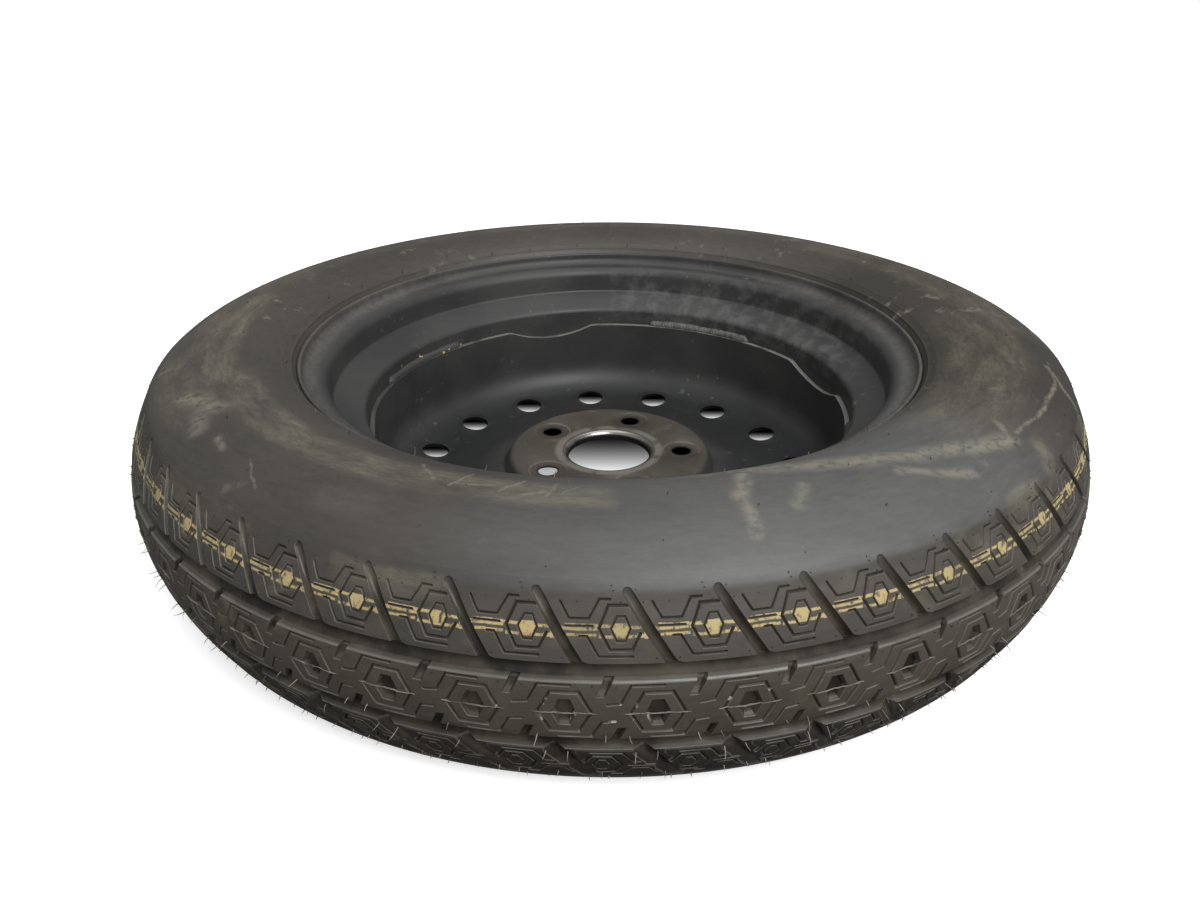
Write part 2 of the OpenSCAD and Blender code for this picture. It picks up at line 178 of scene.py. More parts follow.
def normals_along(path):
    """The unit normal at each point of a path, a quarter turn to the left of its direction."""
    way = unit(np.gradient(path, axis=0))
    return np.stack([-way[:, 1], way[:, 0]], 1)


def revolve(profile, segments, closed=True, start=0.0):
    """A closed profile of (radius, height) carried round Z: points on a grid and its faces."""
    angle = start + np.linspace(0, 2 * np.pi, segments, endpoint=False)
    radius, height = profile[:, 0], profile[:, 1]
    points = np.stack([np.outer(np.cos(angle), radius), np.outer(np.sin(angle), radius),
                       np.outer(np.ones(segments), height)], -1).reshape(-1, 3)
    return points, grid_faces(segments, len(profile), True, closed)


def grid_faces(rows, columns, rows_close, columns_close):
    """The quads of a grid, row by row, with either direction closed on itself."""
    r = np.arange(rows if rows_close else rows - 1)
    c = np.arange(columns if columns_close else columns - 1)
    r0, c0 = [a.ravel() for a in np.meshgrid(r, c, indexing="ij")]
    r1, c1 = (r0 + 1) % rows, (c0 + 1) % columns
    return np.stack([r0 * columns + c0, r1 * columns + c0, r1 * columns + c1, r0 * columns + c1], 1)


# %% [markdown]
# ## The tyre's section
#
# The tread is a crown, a shallow parabola. Past the shoulder each sidewall is a pair of Bezier
# curves out to the widest ring and down to the bead, which follows the rim's flange. A point on
# the skin is named by v, the distance in mm from the middle of the tread measured along z on
# the crown and along the curve on the sidewall.

# %% The tyre's section
TREAD_R, CROWN_R, SHOULDER_Z = 355.4, 93.2, 57.2
BULGE_R, SECTION_HALF = 288.0, 78.4
SEAT_R, RIM_HALF, FLANGE_H, CURL_R, SEAT_FALL = 218.3, 50.8, 17.5, 9.4, 1.6
WALL_T, BASE_T, GROOVE_DEPTH, BEAD_W = 6.0, 7.0, 4.8, 14.5
GAP = 0.2
CURL_CENTRE = np.array([SEAT_R + FLANGE_H - CURL_R, RIM_HALF + CURL_R])


def crown(z):
    """Radius of the tread at a height: the parabola of the crown."""
    return TREAD_R - z * z / (2 * CROWN_R)


def bezier(a, b, c, d, n):
    """n+1 points of the cubic curve from a to d with handles b and c."""
    t = np.linspace(0, 1, n + 1)[:, None]
    return (1 - t) ** 3 * a + 3 * (1 - t) ** 2 * t * b + 3 * (1 - t) * t * t * c + t ** 3 * d


def arc(centre, radius, first, last, n):
    """n+1 points of a circle from one angle to another, in degrees."""
    angle = np.radians(np.linspace(first, last, n + 1))
    return centre + radius * np.stack([np.cos(angle), np.sin(angle)], 1)


def points2(*pairs):
    """Each pair as an array."""
    return [np.array(p, float) for p in pairs]


edge, bulge = points2((crown(SHOULDER_Z), SHOULDER_Z), (BULGE_R, SECTION_HALF))
skin_end = arc(CURL_CENTRE, CURL_R + GAP, 8, 8, 1)[0]
edge_rise = 0.45 * (SECTION_HALF - SHOULDER_Z)
wall_curve = np.vstack([
    bezier(edge, edge + (-2, edge_rise), bulge + (28, 0), bulge, 120),
    bezier(bulge, bulge - (30, 0), skin_end + (4, 10), skin_end, 120)[1:],
])
wall_steps = np.linalg.norm(np.diff(wall_curve, axis=0), axis=1)
wall_along = SHOULDER_Z + np.concatenate([[0], np.cumsum(wall_steps)])
SKIN_V = wall_along[-1]


def skin(v):
    """Point (radius, z) of the tyre's outer skin at v, and its outward normal, for either sign of v."""
    def place(a):
        on_crown = a <= SHOULDER_Z
        return np.stack([np.where(on_crown, crown(a), np.interp(a, wall_along, wall_curve[:, 0])),
                         np.where(on_crown, a, np.interp(a, wall_along, wall_curve[:, 1]))], -1)

    a, side = np.abs(v), np.where(np.asarray(v) < 0, -1.0, 1.0)
    step = 0.4
    way = unit(place(a + step) - place(a - step))
    flip = np.stack([np.ones_like(side), side], -1)
    return place(a) * flip, np.stack([way[..., 1], -way[..., 0]], -1) * flip


print("sidewall is", round(SKIN_V - SHOULDER_Z, 1), "mm from shoulder to bead")

# %% [markdown]
# ## The tread pattern
#
# The tread repeats 48 times round the tyre, so one pitch of it is drawn flat, in mm along the
# tread and v across it, and then carried round. Each slit is a V-shaped line of a width and a
# depth, each notch or pocket is a pit with steep sides, and the wide grooves are rows or bands.
# The pattern looks the same when it is turned half a turn, so only one half of it is written.

# %% The lines of one pitch
PITCHES, TREAD_TURN = 48, 3.98
PITCH = 46.5
RING_END, INNER_EDGE, TILE_END = 27.5, 47.2, 63.5


def turned(items):
    """The drawn items and their copies turned half a turn about the pitch's middle."""
    return items + [(np.array(i[0], float) * -1, *i[1:]) for i in items]


HEXAGON = [(-13.5, 0), (-7.2, 12.2), (7.2, 12.2), (13.5, 0), (7.2, -12.2), (-7.2, -12.2)]
POCKET = [(-6.7, 0), (-3.1, 8.3), (3.1, 8.3), (6.7, 0), (3.1, -8.3), (-3.1, -8.3)]
SMALL_HEXAGON = [(-23.5, 43.7), (-20.6, 49), (-16.4, 49), (-13.8, 43.7), (-16.4, 38), (-20.6, 38)]
NOTCH = [(-31.5, 9.4), (-26.5, 9.4), (-21.4, 20.6), (-26.6, 20.6)]
# Slits: their line, width and depth
closed_slits = [(np.array(HEXAGON, float), 2.4, 1.7)] + turned([(np.array(SMALL_HEXAGON, float), 1.5, 1.1)])
open_slits = turned([
    ([(4, 16), (-13.5, 16), (-18.5, 6), (-26.5, 5)], 1.8, 1.5),
    ([(-23, 56.2), (-29.5, 56.2), (-34.6, 48), (-44.5, 48), (-49.6, 55.8)], 1.6, 1.4),
    ([(-47.2, 44.8), (-32, 44.8)], 1.4, 1.2),
    ([(-14.2, 53.6), (-25, 53.6), (-29.5, 43.8), (-24, 34), (-13, 34), (-8.4, 42.4)], 2.0, 1.6),
    ([(-40.2, 40.2), (-35.3, 40.2), (-29.5, 30.8), (-11.8, 30.8)], 1.7, 1.5),
])
# Pits: their outline, depth, width of the wall, and the side on which the floor slopes
pits = [(np.array(POCKET, float), 3.9, 2.1, None), (np.array(NOTCH), 4.0, 0.7, 1),
        (-np.array(NOTCH), 4.0, 0.7, -1)]
RING_ROWS = np.array([17.2, 17.7, 18.3, 19.1, 20.1, 21.3, 22.8, 25.0, 26.4, 27.1, 27.5])
RING_DEPTHS = np.array([0, 0.15, 0.55, 1.5, 3.0, 4.2, 4.8, 4.8, 4.3, 2.6, 0])
CROSS_FOOT, CROSS_TOP = np.array([9.2, 23.5]), np.array([-15.16, 59.4])
CROSS_STEPS = np.array([0.0, 1.1, 1.9, 2.45, 2.8])
CROSS_SHAPE = np.array([1.0, 0.93, 0.76, 0.5, 0.0])
print(len(closed_slits), "closed slits,", len(open_slits), "open slits and", len(pits), "pits in a pitch")

# %% [markdown]
# The depth of the pattern at a point is the deepest of what is cut there. A slit's depth falls
# off with the distance to its line, and a pit's with the distance to its edge, so one distance
# function serves them all. Near the shoulder the cross grooves become shallow and run out.

# %% Depth of the pattern


def segment_distance(p, a, b):
    """Distance of each point from the line between a and b."""
    along = np.clip(((p - a) @ (b - a)) / ((b - a) @ (b - a)), 0, 1)
    return np.linalg.norm(p - a - along[:, None] * (b - a), axis=1)


def line_distance(p, line):
    """Distance of each point from a line of several segments."""
    return np.min([segment_distance(p, line[i], line[i + 1]) for i in range(len(line) - 1)], axis=0)


def inside(p, outline):
    """True where a point lies in a convex outline."""
    nxt = np.roll(outline, -1, axis=0)
    side = [(b[0] - a[0]) * (p[:, 1] - a[1]) - (b[1] - a[1]) * (p[:, 0] - a[0]) for a, b in zip(outline, nxt)]
    return np.all(np.array(side) <= 1e-9, axis=0) | np.all(np.array(side) >= -1e-9, axis=0)


def close(line):
    """The line with its first point again at the end."""
    return np.vstack([line, line[:1]])


def core(line, width):
    """An open slit's centre line without the half width that tapers off at each end."""
    line = np.array(line, float)
    line[0] += unit(line[1] - line[0]) * width / 2
    line[-1] += unit(line[-2] - line[-1]) * width / 2
    return line


def cross_depth(v):
    """Depth of the cross groove along its middle: full at the ring groove, then running out."""
    return np.interp(np.abs(v), [27.5, 44, 50, 54, 57.2, 60.5], [4.8, 4.0, 3.1, 2.3, 1.7, 1.4])


def pattern_depth(p):
    """Depth in mm at flat points (x, v) of a pitch, its neighbours' cross grooves included."""
    v = p[:, 1]
    depth = np.interp(np.abs(v), RING_ROWS, RING_DEPTHS, left=0, right=0)
    for line, width, deep in closed_slits:
        depth = np.maximum(depth, deep * (1 - 2 * line_distance(p, close(line)) / width))
    for line, width, deep in open_slits:
        depth = np.maximum(depth, deep * (1 - 2 * line_distance(p, core(line, width)) / width))
    for outline, deep, slope, ramp in pits:
        wall = np.clip(line_distance(p, close(outline)) / slope, 0, 1) * inside(p, outline)
        if ramp:
            deep = np.interp(ramp * v, [9.4, 12.6, 18], [0.9, 3.2, deep])
        depth = np.maximum(depth, deep * wall)
    for side in (1, -1):
        for shift in (-PITCH, 0, PITCH):
            away = segment_distance(p, side * CROSS_FOOT + (shift, 0), side * CROSS_TOP + (shift, 0))
            cut = cross_depth(v) * np.interp(away, CROSS_STEPS, CROSS_SHAPE, right=0)
            depth = np.maximum(depth, np.where(side * v > RING_END - 1, cut, 0))
    return depth


# %% [markdown]
# To cut sharp lines into a mesh, its edges have to follow them. The outline of every slit, pit
# and groove is given to a Delaunay triangulation as edges that it has to keep. The pitch is
# bounded by the middles of two cross grooves, so that no slit is cut by the boundary.

# %% The mesh of one pitch


def offset_line(line, by, closed=False):
    """The line moved sideways by a distance, with mitred corners."""
    before = np.roll(line, 1, axis=0) if closed else np.vstack([line[:1], line[:-1]])
    after = np.roll(line, -1, axis=0) if closed else np.vstack([line[1:], line[-1:]])
    back, ahead = line - before, after - line
    back = np.where(np.abs(back).sum(1, keepdims=True) > 0, back, ahead)
    ahead = np.where(np.abs(ahead).sum(1, keepdims=True) > 0, ahead, back)
    back, ahead = unit(back), unit(ahead)
    middle = unit(back + ahead)
    side = np.stack([-middle[:, 1], middle[:, 0]], 1)
    return line + side * by / (middle * back).sum(1, keepdims=True)


class Drawing:
    """Flat points and the edges between them, gathered for the triangulation."""

    def __init__(self):
        self.points, self.edges = [], []

    def add(self, line, closed=False, step=6.0):
        """Adds a line with extra points so that no edge is longer than a step."""
        line = resample(np.array(close(line) if closed else line, float), step)
        first = len(self.points)
        self.points += line.tolist()
        self.edges += [(first + i, first + i + 1) for i in range(len(line) - 1)]

    def triangles(self):
        """The Delaunay triangles that keep every edge, as points and faces."""
        made = delaunay_2d_cdt([Vector(p) for p in self.points], self.edges, [], 0, 1e-4, False)
        return np.array([tuple(p) for p in made[0]]), np.array(made[2])


def boundary():
    """The pitch's left boundary from top to bottom, along two cross grooves and between the hexagons."""
    way = unit(CROSS_TOP - CROSS_FOOT)
    on_groove = [CROSS_TOP + way * r for r in CROSS_STEPS[::-1]]
    rows = [CROSS_FOOT + way * (v - CROSS_FOOT[1]) / way[1] for v in (56.9, 50, 44, 38, 32, RING_END)]
    half = np.vstack([[(-3 * PITCH / 8, TILE_END)], on_groove, rows]) - (PITCH, 0)
    middle = np.array([(-32.8, RING_ROWS[0]), (-32.6, 9.4), (-29.5, 3.0)])
    across = np.linspace(half[-1, 0], middle[0, 0], len(RING_ROWS))[1:-1]
    upper = np.vstack([half, np.stack([across, RING_ROWS[::-1][1:-1]], 1), middle])
    lower = -(upper[::-1] + (PITCH, 0))
    return np.vstack([upper, lower])


left_edge = boundary()


def edge_x(v):
    """Where the left boundary is at v."""
    return np.interp(-np.asarray(v), -left_edge[:, 1], left_edge[:, 0])


def draw_pitch():
    """All the lines of a pitch."""
    sheet = Drawing()
    for shift in (0, PITCH):
        sheet.add(left_edge + (shift, 0), step=5.0)
    ring_rows = np.concatenate([RING_ROWS, -RING_ROWS])
    for v in np.concatenate([ring_rows, [TILE_END, -TILE_END]]):
        x = edge_x(v)
        sheet.add(np.stack([x + np.linspace(0, PITCH, 9), np.full(9, v)], 1))
    for line, width, deep in closed_slits:
        for by in (-width / 2, 0, width / 2):
            sheet.add(offset_line(line, by, True), True)
    for line, width, deep in open_slits:
        middle = core(line, width)
        sheet.add(middle)
        line = np.array(line, float)
        left, right = offset_line(middle, width / 2), offset_line(middle, -width / 2)[::-1]
        sheet.add(np.vstack([line[:1], left, line[-1:], right]), True)
    for outline, deep, slope, ramp in pits:
        inward = offset_line(outline, slope, True)
        if not inside(inward[:1], outline)[0]:
            inward = offset_line(outline, -slope, True)
        sheet.add(outline, True)
        sheet.add(inward, True)
    way = unit(CROSS_TOP - CROSS_FOOT)
    side = np.array([-way[1], way[0]])
    for turn in (1, -1):
        for step in CROSS_STEPS[1:]:
            round_end = np.radians(np.linspace(0, 90, 5))[:, None]
            for lean, shift in ((-1, -PITCH if turn == 1 else 0), (1, 0 if turn == 1 else PITCH)):
                end = CROSS_TOP + step * (np.sin(round_end) * way + np.cos(round_end) * side * lean)
                line = np.vstack([CROSS_FOOT + way * 4.2 + side * lean * step, end])
                sheet.add(turn * line + (shift, 0))
    return sheet


CLEAR = 2.2
sheet = draw_pitch()
grid_x, grid_v = [a.ravel() for a in np.meshgrid(np.arange(0.5, 8), np.arange(-60, 61, 4.6))]
spare = np.stack([edge_x(grid_v) + grid_x * PITCH / 8, grid_v], 1)
drawn = np.array(sheet.points)
nearest = np.min(np.linalg.norm(spare[:, None] - drawn[None], axis=2), axis=1)
sheet.points += spare[nearest > CLEAR].tolist()
flat, tile_faces = sheet.triangles()
centres = flat[tile_faces].mean(axis=1)
keep = (centres[:, 0] > edge_x(centres[:, 1])) & (centres[:, 0] < edge_x(centres[:, 1]) + PITCH)
keep &= np.abs(centres[:, 1]) < TILE_END
tile_faces = tile_faces[keep]
print("one pitch has", len(flat), "points and", len(tile_faces), "triangles")

# %% [markdown]
# Carried round, a flat point turns about the axle by its x, sits on the skin at its v, and is
# sunk along the skin's normal by its depth. The sidewalls, beads and the inside are one more
# profile, carried round on a plain grid whose first and last rows meet the tread's edges.

# %% Carry the pitch round and close the tyre


def on_tyre(x, v, height):
    """3-D points in mm for a distance x along the tread, v across it and a height over the skin."""
    place, normal = skin(v)
    at = place + normal * np.asarray(height)[..., None]
    angle = np.radians(TREAD_TURN + x / PITCH * 360 / PITCHES)
    return np.stack([at[..., 0] * np.cos(angle), at[..., 0] * np.sin(angle), at[..., 1]], -1)


def ridge(v, centre, width, height):
    """Height of a small rounded ridge across v."""
    return height * np.exp(-(((np.abs(v) - centre) / width) ** 2))


# Fine moulded rings: v, half width and height, at the shoulder, near it, and two beside the rim
RINGS = [(57.3, 0.5, 0.3), (65.6, 0.5, 0.16), (SKIN_V - 6.2, 0.9, 0.7), (SKIN_V - 12.5, 0.6, 0.25)]


def skin_relief(v):
    """Height of all the fine rings together."""
    return sum(ridge(v, *ring) for ring in RINGS)


def wall_profile():
    """(radius, height) from the tread's upper edge over sidewall, bead and inside to its lower edge."""
    near = np.array([-1.4, -0.7, 0, 0.7, 1.4])
    on_rings = [ring[0] + near for ring in RINGS[1:]]
    v = np.unique(np.concatenate([np.linspace(TILE_END, SKIN_V, 30)] + on_rings))
    place, normal = skin(v)
    outer = place + normal * skin_relief(v)[:, None]
    heel, toe_z = 7.0, RIM_HALF - GAP - BEAD_W
    toe = np.array([SEAT_R - SEAT_FALL * BEAD_W / 20.8 + GAP, toe_z])
    bead = np.vstack([arc(CURL_CENTRE, CURL_R + GAP, 0, -90, 6),
                      arc(np.array([SEAT_R + GAP + heel, RIM_HALF - GAP - heel]), heel, 90, 180, 4), [toe]])
    inner_edge = np.array([crown(INNER_EDGE) - GROOVE_DEPTH - BASE_T, INNER_EDGE])
    inner_bulge = np.array([BULGE_R, SECTION_HALF - WALL_T])
    inner = np.vstack([bezier(toe, toe + (16, 3), inner_bulge - (34, 0), inner_bulge, 6)[1:],
                       bezier(inner_bulge, inner_bulge + (24, 0), inner_edge + (-8, 14), inner_edge, 6)[1:]])
    z = np.linspace(INNER_EDGE, 0, 4)[1:]
    middle = np.stack([crown(z) - GROOVE_DEPTH - BASE_T, z], 1)
    half = np.vstack([outer, bead, inner, middle])
    inner_v = np.full(len(half) - len(outer), SKIN_V + 10)
    whole = np.vstack([half, (half * (1, -1))[-2::-1]])
    return whole, np.concatenate([v, inner_v, -inner_v[-2::-1], -v[::-1]])


tile_depth = pattern_depth(flat)
edge_band = np.abs(flat[:, 1]) > RING_END
tile_height = np.where(tile_depth > 0.01, -tile_depth, np.where(edge_band, skin_relief(flat[:, 1]), 0))
turns = np.arange(PITCHES)[:, None] * PITCH
tread = on_tyre((flat[:, 0] + turns).ravel(), np.tile(flat[:, 1], PITCHES), np.tile(tile_height, PITCHES))
tread_faces = (tile_faces + np.arange(PITCHES)[:, None, None] * len(flat)).reshape(-1, 3)
profile, profile_v = wall_profile()
wall, wall_faces = revolve(profile, PITCHES * 8, closed=False, start=math.radians(TREAD_TURN))
tyre = add_piece("tyre_rubber", np.vstack([tread, wall]),
                 tread_faces.tolist() + (wall_faces + len(tread)).tolist(), sharp=32, weld=0.02,
                 across=np.concatenate([np.tile(flat[:, 1], PITCHES), np.tile(profile_v, PITCHES * 8)]),
                 cut=np.concatenate([np.tile(tile_depth, PITCHES), np.zeros(len(wall))]))
rework(tyre.data, drop_loose, turn_outwards)
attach(tyre, "wheel")
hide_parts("tyre")

# %% [markdown]
# ## Hairs and flash
#
# A mould breathes through thin holes, and rubber runs into them, so a new tyre is covered with
# fine hairs. Short ones are stubs, long ones droop. Rubber also creeps between the mould's two
# halves and leaves a thin fin along the middle of the tread, which is seen where it bridges the
# hexagons.

# %% Hairs
rng = np.random.default_rng(7)
HAIR_SIDES, HAIR_RINGS = 6, 5


def hairs(name, x, v, length, radius, lean):
    """Tapered tubes on the skin: r(t) = radius (1 - 0.55 t) round a line that bends with t squared."""
    given = [np.asarray(a, float) for a in (x, v, length, radius, lean)]
    x, v, length, radius, lean = np.broadcast_arrays(*given)
    base, out = on_tyre(x, v, 0 * x - 0.3), unit(on_tyre(x, v, 0 * x + 1) - on_tyre(x, v, 0 * x))
    along = unit(on_tyre(x + 1, v, 0 * x) - on_tyre(x, v, 0 * x))
    across = np.cross(out, along)
    t = np.linspace(0, 1, HAIR_RINGS)[None, :, None, None]
    turn = np.linspace(0, 2 * np.pi, HAIR_SIDES, endpoint=False)[None, None, :, None]
    bend = rng.normal(0, 0.45, (2, len(x), 1, 1, 1))
    one = [a[:, None, None, :] for a in (base, out, along, across)]
    far = length[:, None, None, None]
    line = one[0] + one[1] * (far * t + 0.3) + (one[2] * bend[0] + one[3] * bend[1]) * far * t ** 2 * 0.6
    line = line - np.array([0, 0, 1]) * (lean[:, None, None, None] * far * t ** 2)
    size = radius[:, None, None, None] * (1 - 0.55 * t) * np.where(t > 0.99, 0.6, 1)
    points = line + size * (one[2] * np.cos(turn) + one[3] * np.sin(turn))
    one_hair = grid_faces(HAIR_RINGS, HAIR_SIDES, False, True)
    caps = [list(range(HAIR_SIDES))[::-1], [(HAIR_RINGS - 1) * HAIR_SIDES + i for i in range(HAIR_SIDES)]]
    size = HAIR_RINGS * HAIR_SIDES
    faces = [[f + size * i for f in face] for i in range(len(x)) for face in one_hair.tolist() + caps]
    return add_piece(name, points.reshape(-1, 3), faces, sharp=60)


def every_pitch(spots, miss=0.12):
    """The same spots on each pitch, with a few that broke off."""
    spots = np.array(spots, float)
    shift = np.arange(PITCHES)[:, None] * PITCH
    x = (spots[:, 0] + shift).ravel()
    rest = [np.tile(spots[:, k], PITCHES) for k in (1, 2)]
    kept = rng.random(len(x)) > miss
    return x[kept], rest[0][kept], rest[1][kept] * rng.uniform(0.6, 1.15, kept.sum())


# Spots of one pitch: x and v in mm, and the hair's length
stub_spots = [(14, 16, 1.6), (-20.6, 15.5, 1.9), (20.6, -15.5, 5.0), (-14, -16, 5.5), (-40.5, 55.2, 0.9),
              (-18.5, 55, 0.9), (-7.2, 55, 0.9), (-36, 30.2, 1.1), (-0.9, 30, 1.1), (40.5, -55.2, 3),
              (18.5, -55, 3), (7.2, -55, 3), (36, -30.2, 6.5), (0.9, -30, 6.5), (-22.3, 60.4, 0.8),
              (-11, 60.8, 0.8), (22.3, -60.4, 2), (11, -60.8, 2), (-23.2, 62.8, 0.7)]
x, v, length = every_pitch(stub_spots)
THIN, THICK = 0.3, 0.42
radius, lean = np.where(length > 2, THIN, THICK), np.where(v < 0, 0.25, 0.05)
tread_hairs = hairs("tread_hairs", x, v, length, radius, lean)

PHI_TO_X = PITCH * PITCHES / 360
# Rows on the sidewalls, 16 hairs each: distance down the wall, first turn, length
wall_rows = [(14, -50.5, 1.2), (29.5, -62.75, 1.6), (49, -52.5, 2.2), (69, 28.75, 2.0), (86, 40, 1.4)]
x, v, length = [], [], []
for along, first, tall in wall_rows:
    for side in (1, -1):
        phi = first + 22.7 * side + np.arange(16) * 22.5
        x.append((phi - 90 - TREAD_TURN) * PHI_TO_X)
        v.append(np.full(16, side * (SHOULDER_Z + along)))
        length.append(np.full(16, tall))
for side in (1, -1):
    phi = 5.6 + np.arange(32) * 11.25 + rng.uniform(-2, 2, 32)
    x.append((phi - 90 - TREAD_TURN) * PHI_TO_X)
    v.append(side * (SHOULDER_Z + rng.choice([99.0, 104.0], 32)))
    length.append(rng.uniform(2.5, 5.5, 32))
x, v, length = [np.concatenate(a) for a in (x, v, length)]
clear = skin(v)[0][:, 1] - 1.2 * length > -SECTION_HALF + 0.3
x, v, length = x[clear], v[clear], length[clear]
wall_hairs = hairs("wall_hairs", x, v, length * rng.uniform(0.7, 1.2, len(x)), 0.38, 0.1)

# %% The flash
FLASH_HALF, FLASH_FOOT, FLASH_N = 16.5, 0.28, 34
flash_x = np.linspace(-FLASH_HALF, FLASH_HALF, FLASH_N)
flash_x = (flash_x[None, :] + np.arange(PITCHES)[:, None] * PITCH).ravel()
wobble = 0.22 * np.sin(flash_x / 2.3) + 0.12 * np.sin(flash_x / 0.9 + 1)
tall = 0.45 + 0.2 * np.sin(flash_x / 3.1) + 0.12 * rng.normal(0, 1, len(flash_x))
ends = np.tile(np.concatenate([[0.1], np.ones(FLASH_N - 2), [0.1]]), PITCHES)
left, right = [on_tyre(flash_x, wobble + by, 0 * tall - 0.25) for by in (FLASH_FOOT, -FLASH_FOOT)]
fin = np.stack([left, on_tyre(flash_x, wobble, np.clip(tall, 0.15, 1) * ends), right], 1)
count = 3 * FLASH_N
one_fin = grid_faces(FLASH_N, 3, False, True).tolist() + [[0, 1, 2], [count - 1, count - 2, count - 3]]
flash = add_piece("tread_flash", fin.reshape(-1, 3),
                  [[f + count * i for f in face] for i in range(PITCHES) for face in one_fin], sharp=20)
for piece in (tread_hairs, wall_hairs, flash):
    rework(piece.data, turn_outwards)
    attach(piece, "wheel")

# %% [markdown]
# ## Rim and disc
#
# The rim is one strip of steel, rolled to a profile and closed to a hoop. Its section is a line
# with rounded corners, thickened to both sides with a rolled lip at each end, and carried round.
# The disc is pressed from a flat blank. It is drawn flat too, with its holes as circles, and
# then each point goes to its place on the pressed section, once for each face of the sheet.

# %% The rim
RIM_T, LIP_W = 2.8, 3.6
WELL_R, WELL_LOW, WELL_HIGH, WELL_RISE = 190.5, -30.0, 19.5, 11.0


def ribbon(path, thick, n_end=4):
    """A closed outline round a path: its two side lines and a half circle at each end."""
    n = normals_along(path) * thick / 2
    turn = np.pi * np.linspace(0, 1, n_end + 2)[1:-1, None]
    ahead, back = unit(path[-1] - path[-2]), unit(path[0] - path[1])
    end = path[-1] + n[-1] * np.cos(turn) + ahead * thick / 2 * np.sin(turn)
    start = path[0] - n[0] * np.cos(turn) + back * thick / 2 * np.sin(turn)
    return np.vstack([path + n, end, (path - n)[::-1], start])


lip_r = SEAT_R + FLANGE_H - RIM_T / 2
seat_mid = SEAT_R - RIM_T / 2
lip_z = RIM_HALF + RIM_T / 2
rim_end = RIM_HALF + CURL_R + LIP_W - RIM_T / 2
well_mid, slope_r = WELL_R + RIM_T / 2, 215.3
rim_corners = [(lip_r, -rim_end), (lip_r, -lip_z), (seat_mid, -lip_z), (slope_r, WELL_LOW),
               (well_mid, WELL_LOW), (well_mid, WELL_HIGH), (slope_r, WELL_HIGH + WELL_RISE),
               (seat_mid, lip_z), (lip_r, lip_z), (lip_r, rim_end)]
rim_line = resample(rounded_path(rim_corners, [8, 7, 4, 4, 4, 4, 7, 8], 9), 9.0)
rim = add_piece("steel_rim", *revolve(ribbon(rim_line, RIM_T), 288), sharp=40)

# %% [markdown]
# The flat drawing of the disc uses the distance along the section as its radius, set so that it
# equals the real radius on the hub pad. A vent hole is a circle in real space, so its points go
# back through the section to the drawing before the triangulation.

# %% The disc's section
DISC_T, PAD_MID, CROWN_MID, EDGE_Z = 4.0, -37.6, -62.4, 6.0
BORE_R, PAD_R, PAD_STEP, BORE_LIP = 33.55, 79.0, 10.6, 5.6
PCD, NUTS, NUT_R, NUT_SEAT_R, COIN_R, COIN_DEPTH = 120.0, 5, 7.6, 10.4, 16.0, 1.2
VENTS, VENT_RING_R, VENT_R, VENT_DISH_R, VENT_RISE, VENT_TURN = 16, 158.8, 11.7, 17.0, 3.6, 6.6
SCALLOP_R, SCALLOP_DEPTH, SCALLOP_TURN = 89.0, 9.6, 17.5
WALL_MID = WELL_R - 2.2
disc_corners = [(BORE_R + 2, PAD_MID - BORE_LIP), (BORE_R + 2, PAD_MID), (PAD_R + 1, PAD_MID),
                (PAD_R + 1 + PAD_STEP / 2, PAD_MID - PAD_STEP), (114.8, CROWN_MID + 4.6), (146.8, CROWN_MID),
                (WALL_MID, CROWN_MID), (WALL_MID, EDGE_Z)]
disc_line = rounded_path(disc_corners, [2.8, 3.5, 5, 40, 30, 30], 14)
disc_along = np.concatenate([[0], np.cumsum(np.linalg.norm(np.diff(disc_line, axis=0), axis=1))])
on_pad = 1 + 15
disc_along += disc_line[on_pad, 0] - disc_along[on_pad]
disc_normals = normals_along(disc_line)
RISE_END = disc_along[-1]


def disc_place(rho, angle, over):
    """3-D points in mm at a drawing radius and angle, a distance over the middle of the sheet."""
    r, z = [np.interp(rho, disc_along, disc_line[:, k]) for k in range(2)]
    n = unit(np.stack([np.interp(rho, disc_along, disc_normals[:, k]) for k in range(2)], -1))
    r, z = r + n[..., 0] * over, z + n[..., 1] * over
    return np.stack([r * np.cos(angle), r * np.sin(angle), z], -1)


def hole_ring(ring_r, angle, radius, n):
    """A circle of a radius about a hole's centre, as points of the drawing."""
    turn = np.linspace(0, 2 * np.pi, n, endpoint=False)
    x, y = ring_r + radius * np.cos(turn), radius * np.sin(turn)
    r, a = np.hypot(x, y), np.arctan2(y, x) + angle
    path_r, first = np.unique(disc_line[:, 0], return_index=True)
    rho = np.interp(r, path_r, disc_along[first])
    return np.stack([rho * np.cos(a), rho * np.sin(a)], 1)


def rim_edge(angle):
    """Drawing radius of the disc's outer edge, with four long scallops cut by a cylinder."""
    across = (angle - math.radians(SCALLOP_TURN) + np.pi / 4) % (np.pi / 2) - np.pi / 4
    y = np.clip(WALL_MID * np.sin(across), -SCALLOP_R, SCALLOP_R)
    cut = EDGE_Z - SCALLOP_DEPTH + SCALLOP_R - np.sqrt(SCALLOP_R ** 2 - y ** 2)
    return RISE_END - np.maximum(EDGE_Z - cut, 0)


